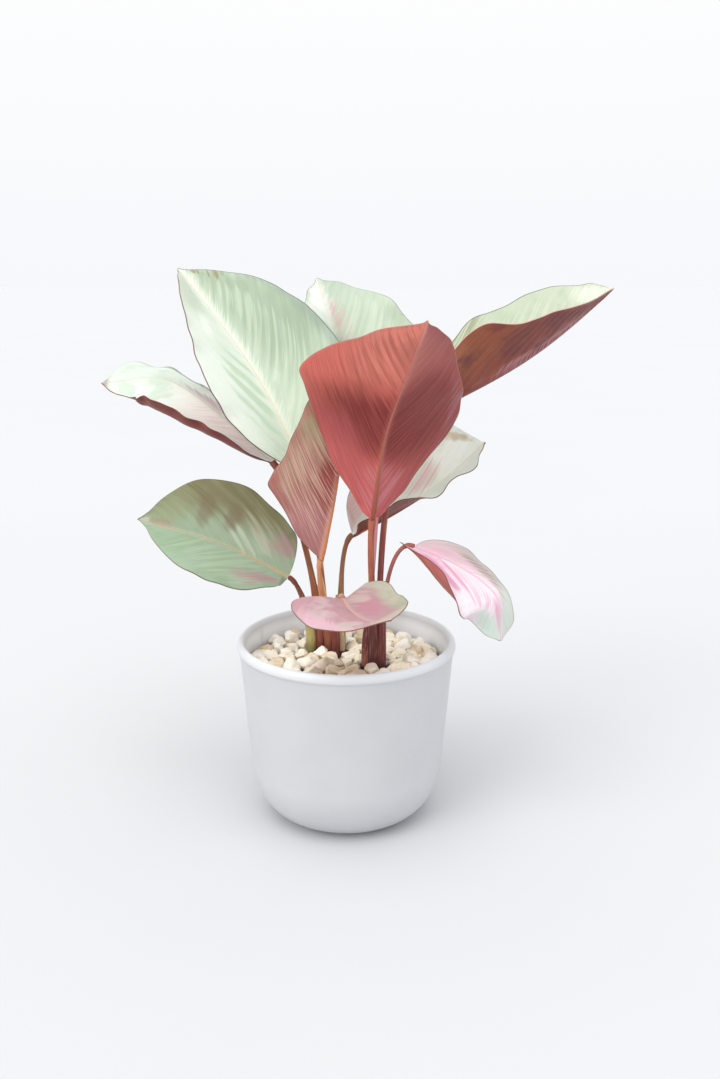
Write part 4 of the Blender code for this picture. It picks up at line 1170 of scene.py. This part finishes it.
# %% Make the shoots
SHARP_EDGE_DEGREES = 50
for node, stalks in SHOOTS.items():
    bm = bmesh.new()
    labels = {label: bm.verts.layers.float.new(label) for label in STALK_KNOWN}
    skins = []
    for name, stalk in stalks.items():
        leaf = LEAVES["blade_" + name]
        add_stalk(bm, labels, stalk, leaf, len(skins))
        skins.append(stalk_skin(name + " stalk", stalk.tones))
        if stalk.sheath:
            add_sheath(bm, labels, stalk, leaf, len(skins))
            skins.append(stalk_skin(name + " sheath", SHEATHS[name], papery=True))
    bmesh.ops.recalc_face_normals(bm, faces=bm.faces)
    shoot = new_object(node.replace("_stems", ""), mesh_of(node, bm), skins)
    shoot.data.shade_smooth()
    shoot.data.set_sharp_from_angle(angle=math.radians(SHARP_EDGE_DEGREES))
    dress(shoot, SLOTS[node], node)

# %% [markdown]
# ## Stone chips
# Cream limestone chips of 5 to 11 mm cover the mix. Two tiers of them lie in the pot: a lower one that
# fills the gaps and an upper one that lies on it. Loose stones could be dropped in a simulation, but they
# are quicker to throw like darts: a stone that would land on a stalk, the wall or another stone of its tier
# isn't kept.
# %% Throw the stones
GRAVEL_BED = 78.6
# How many stones a tier has, their radii, its height over the bed, and how close they may lie.
LOWER_TIER, UPPER_TIER = (240, (2.6, 3.8), -0.2, 0.62), (95, (3.6, 5.6), 2.2, 0.80)
MOST_TRIES, WALL_GAP, SHEATH_ROOM, HEIGHT_SPREAD = 60000, 0.6, 1.1, 0.6
stones_rng = random.Random(7)
STALK_FEET = [(stalk.foot, stalk.radii[0] + (SHEATH_ROOM if stalk.sheath else 0.0))
              for stalks in SHOOTS.values() for stalk in stalks.values()]


def thrown(count, radius_range, rise, closeness):
    """Places for stones: inside the wall, off the stalks, and apart from each other."""
    height = GRAVEL_BED + rise
    placed = []
    tries = 0
    while len(placed) < count and tries < MOST_TRIES:
        tries += 1
        radius = stones_rng.uniform(*radius_range)
        out = (wall_radius(height) - 0.9 * radius - WALL_GAP) * math.sqrt(stones_rng.random())
        turn = stones_rng.uniform(0, math.tau)
        x, y = out * math.cos(turn), out * math.sin(turn)
        free = all(math.hypot(x - fx, y - fy) > fr + 0.85 * radius for (fx, fy), fr in STALK_FEET)
        if free and all(math.hypot(x - px, y - py) > closeness * (radius + pr) for px, py, _, pr in placed):
            placed.append((x, y, height + stones_rng.uniform(-HEIGHT_SPREAD, HEIGHT_SPREAD), radius))
    return placed


lower, upper = thrown(*LOWER_TIER), thrown(*UPPER_TIER)
print(len(lower), "lower and", len(upper), "upper stones")

# %% [markdown]
# ## Cutting a stone
# A broken chip has flat faces and worn corners, and no two are alike. A scan would be true, but heavy. So
# each stone starts as a fine ball that is squashed a little, a few random planes cut it, and a noise wears
# it.
# %% Cut a stone


def add_stone(bm, tone_layer, place, radius, rounds):
    """A ball of this many subdivisions, squashed, cut by planes and worn, in bm."""
    made = bmesh.ops.create_icosphere(bm, subdivisions=rounds, radius=1.0)["verts"]
    squash = Vector([stones_rng.uniform(*span) for span in ((0.8, 1.15), (0.7, 1.0), (0.6, 0.85))])
    turn = Matrix.Rotation(stones_rng.uniform(0, math.tau), 3, "Z")
    turn = turn @ Matrix.Rotation(stones_rng.uniform(-0.5, 0.5), 3, "X")
    planes = []
    for _ in range(stones_rng.randint(6, 9)):
        way = Vector([stones_rng.gauss(0, 1) for _ in range(3)]).normalized()
        planes.append((way, stones_rng.uniform(0.48, 0.86)))
    tone, shift = stones_rng.random(), stones_rng.uniform(0, 90)
    for vert in made:
        point = vert.co.copy()
        for way, distance in planes:
            point -= way * max(point.dot(way) - distance, 0.0)
        point *= 1.12 + 0.24 * noise.noise(point * 1.7 + Vector((shift, 0, 0)))
        point *= 1.0 + 0.05 * noise.noise(point * 6.0 + Vector((0, shift, 0)))
        point = turn @ Vector((point.x * squash.x, point.y * squash.y, point.z * squash.z))
        vert.co = (Vector(place) + point * radius) * MM
        vert[tone_layer] = tone


print("a stone is cut by 6 to 9 planes")

# %% [markdown]
# ## Limestone
# Limestone is matt and chalky, cream where it is fresh and tan where iron has stained it. The tone is one
# number for each stone, kept on its points, so that the stones differ. Low down they are in each other's
# shade and full of dust, and at the foot of the stalks water keeps them damp.
# %% Limestone and the stones


def limestone(tree):
    """Cream to tan from stone to stone, with stains of 4 mm and pores of two thirds of a millimetre."""
    place = add(tree, PLACE)
    tone = add(tree, ("Attribute", {"attribute_name": "tone"}, "Fac"))
    colour = tinted(tree, "#FFFDF6", "#FBF4E0", tone, 0.15, 0.75)
    colour = tinted(tree, colour, "#E2CFAE", tone, 0.82, 0.98)
    cloud = add(tree, NOISE, place, per_metre(3.85), 4.0)
    colour = tinted(tree, colour, "#DDCBA8", cloud, 0.5, 0.72, 0.4)
    pore = add(tree, NOISE, place, per_metre(2 / 3), 3.0)
    colour = tinted(tree, colour, "#A98F6C", pore, 0.6, 0.75, 0.4)
    height = add(tree, HEIGHT, place)
    colour = tinted(tree, colour, "#7E6446", height, 0.0805, 0.0770, 0.65)
    # Water that runs down the stalks keeps the stones at their feet damp and brown.
    local = add(tree, SPOT, place, Location=(-0.001, -0.022, 0.081), Scale=(0.024, 0.020, 0.1))
    damp = add(tree, TIMES_PLUS, tone, 0.7, add(tree, FAR, local))
    colour = tinted(tree, colour, "#A88B6C", damp, 1.35, 0.55, 0.75)
    return colour, add(tree, EASE, cloud, -1.0, 0.2, 0.0, 0.9), add(tree, TIMES, pore, 0.0004)


CHIP_EDGE_DEGREES, LOWER_ROUNDS, UPPER_ROUNDS = 27, 2, 3
bm = bmesh.new()
tone_layer = bm.verts.layers.float.new("tone")
for stones, rounds in ((lower, LOWER_ROUNDS), (upper, UPPER_ROUNDS)):
    for *place, radius in stones:
        add_stone(bm, tone_layer, place, radius, rounds)
chips = new_object("stone_chips", mesh_of("stone_chips", bm),
                   [finish("broken cream limestone", limestone, {"IOR": 1.55})])
chips.data.shade_smooth()
chips.data.set_sharp_from_angle(angle=math.radians(CHIP_EDGE_DEGREES))
dress(chips, "stone_chips", "gravel")
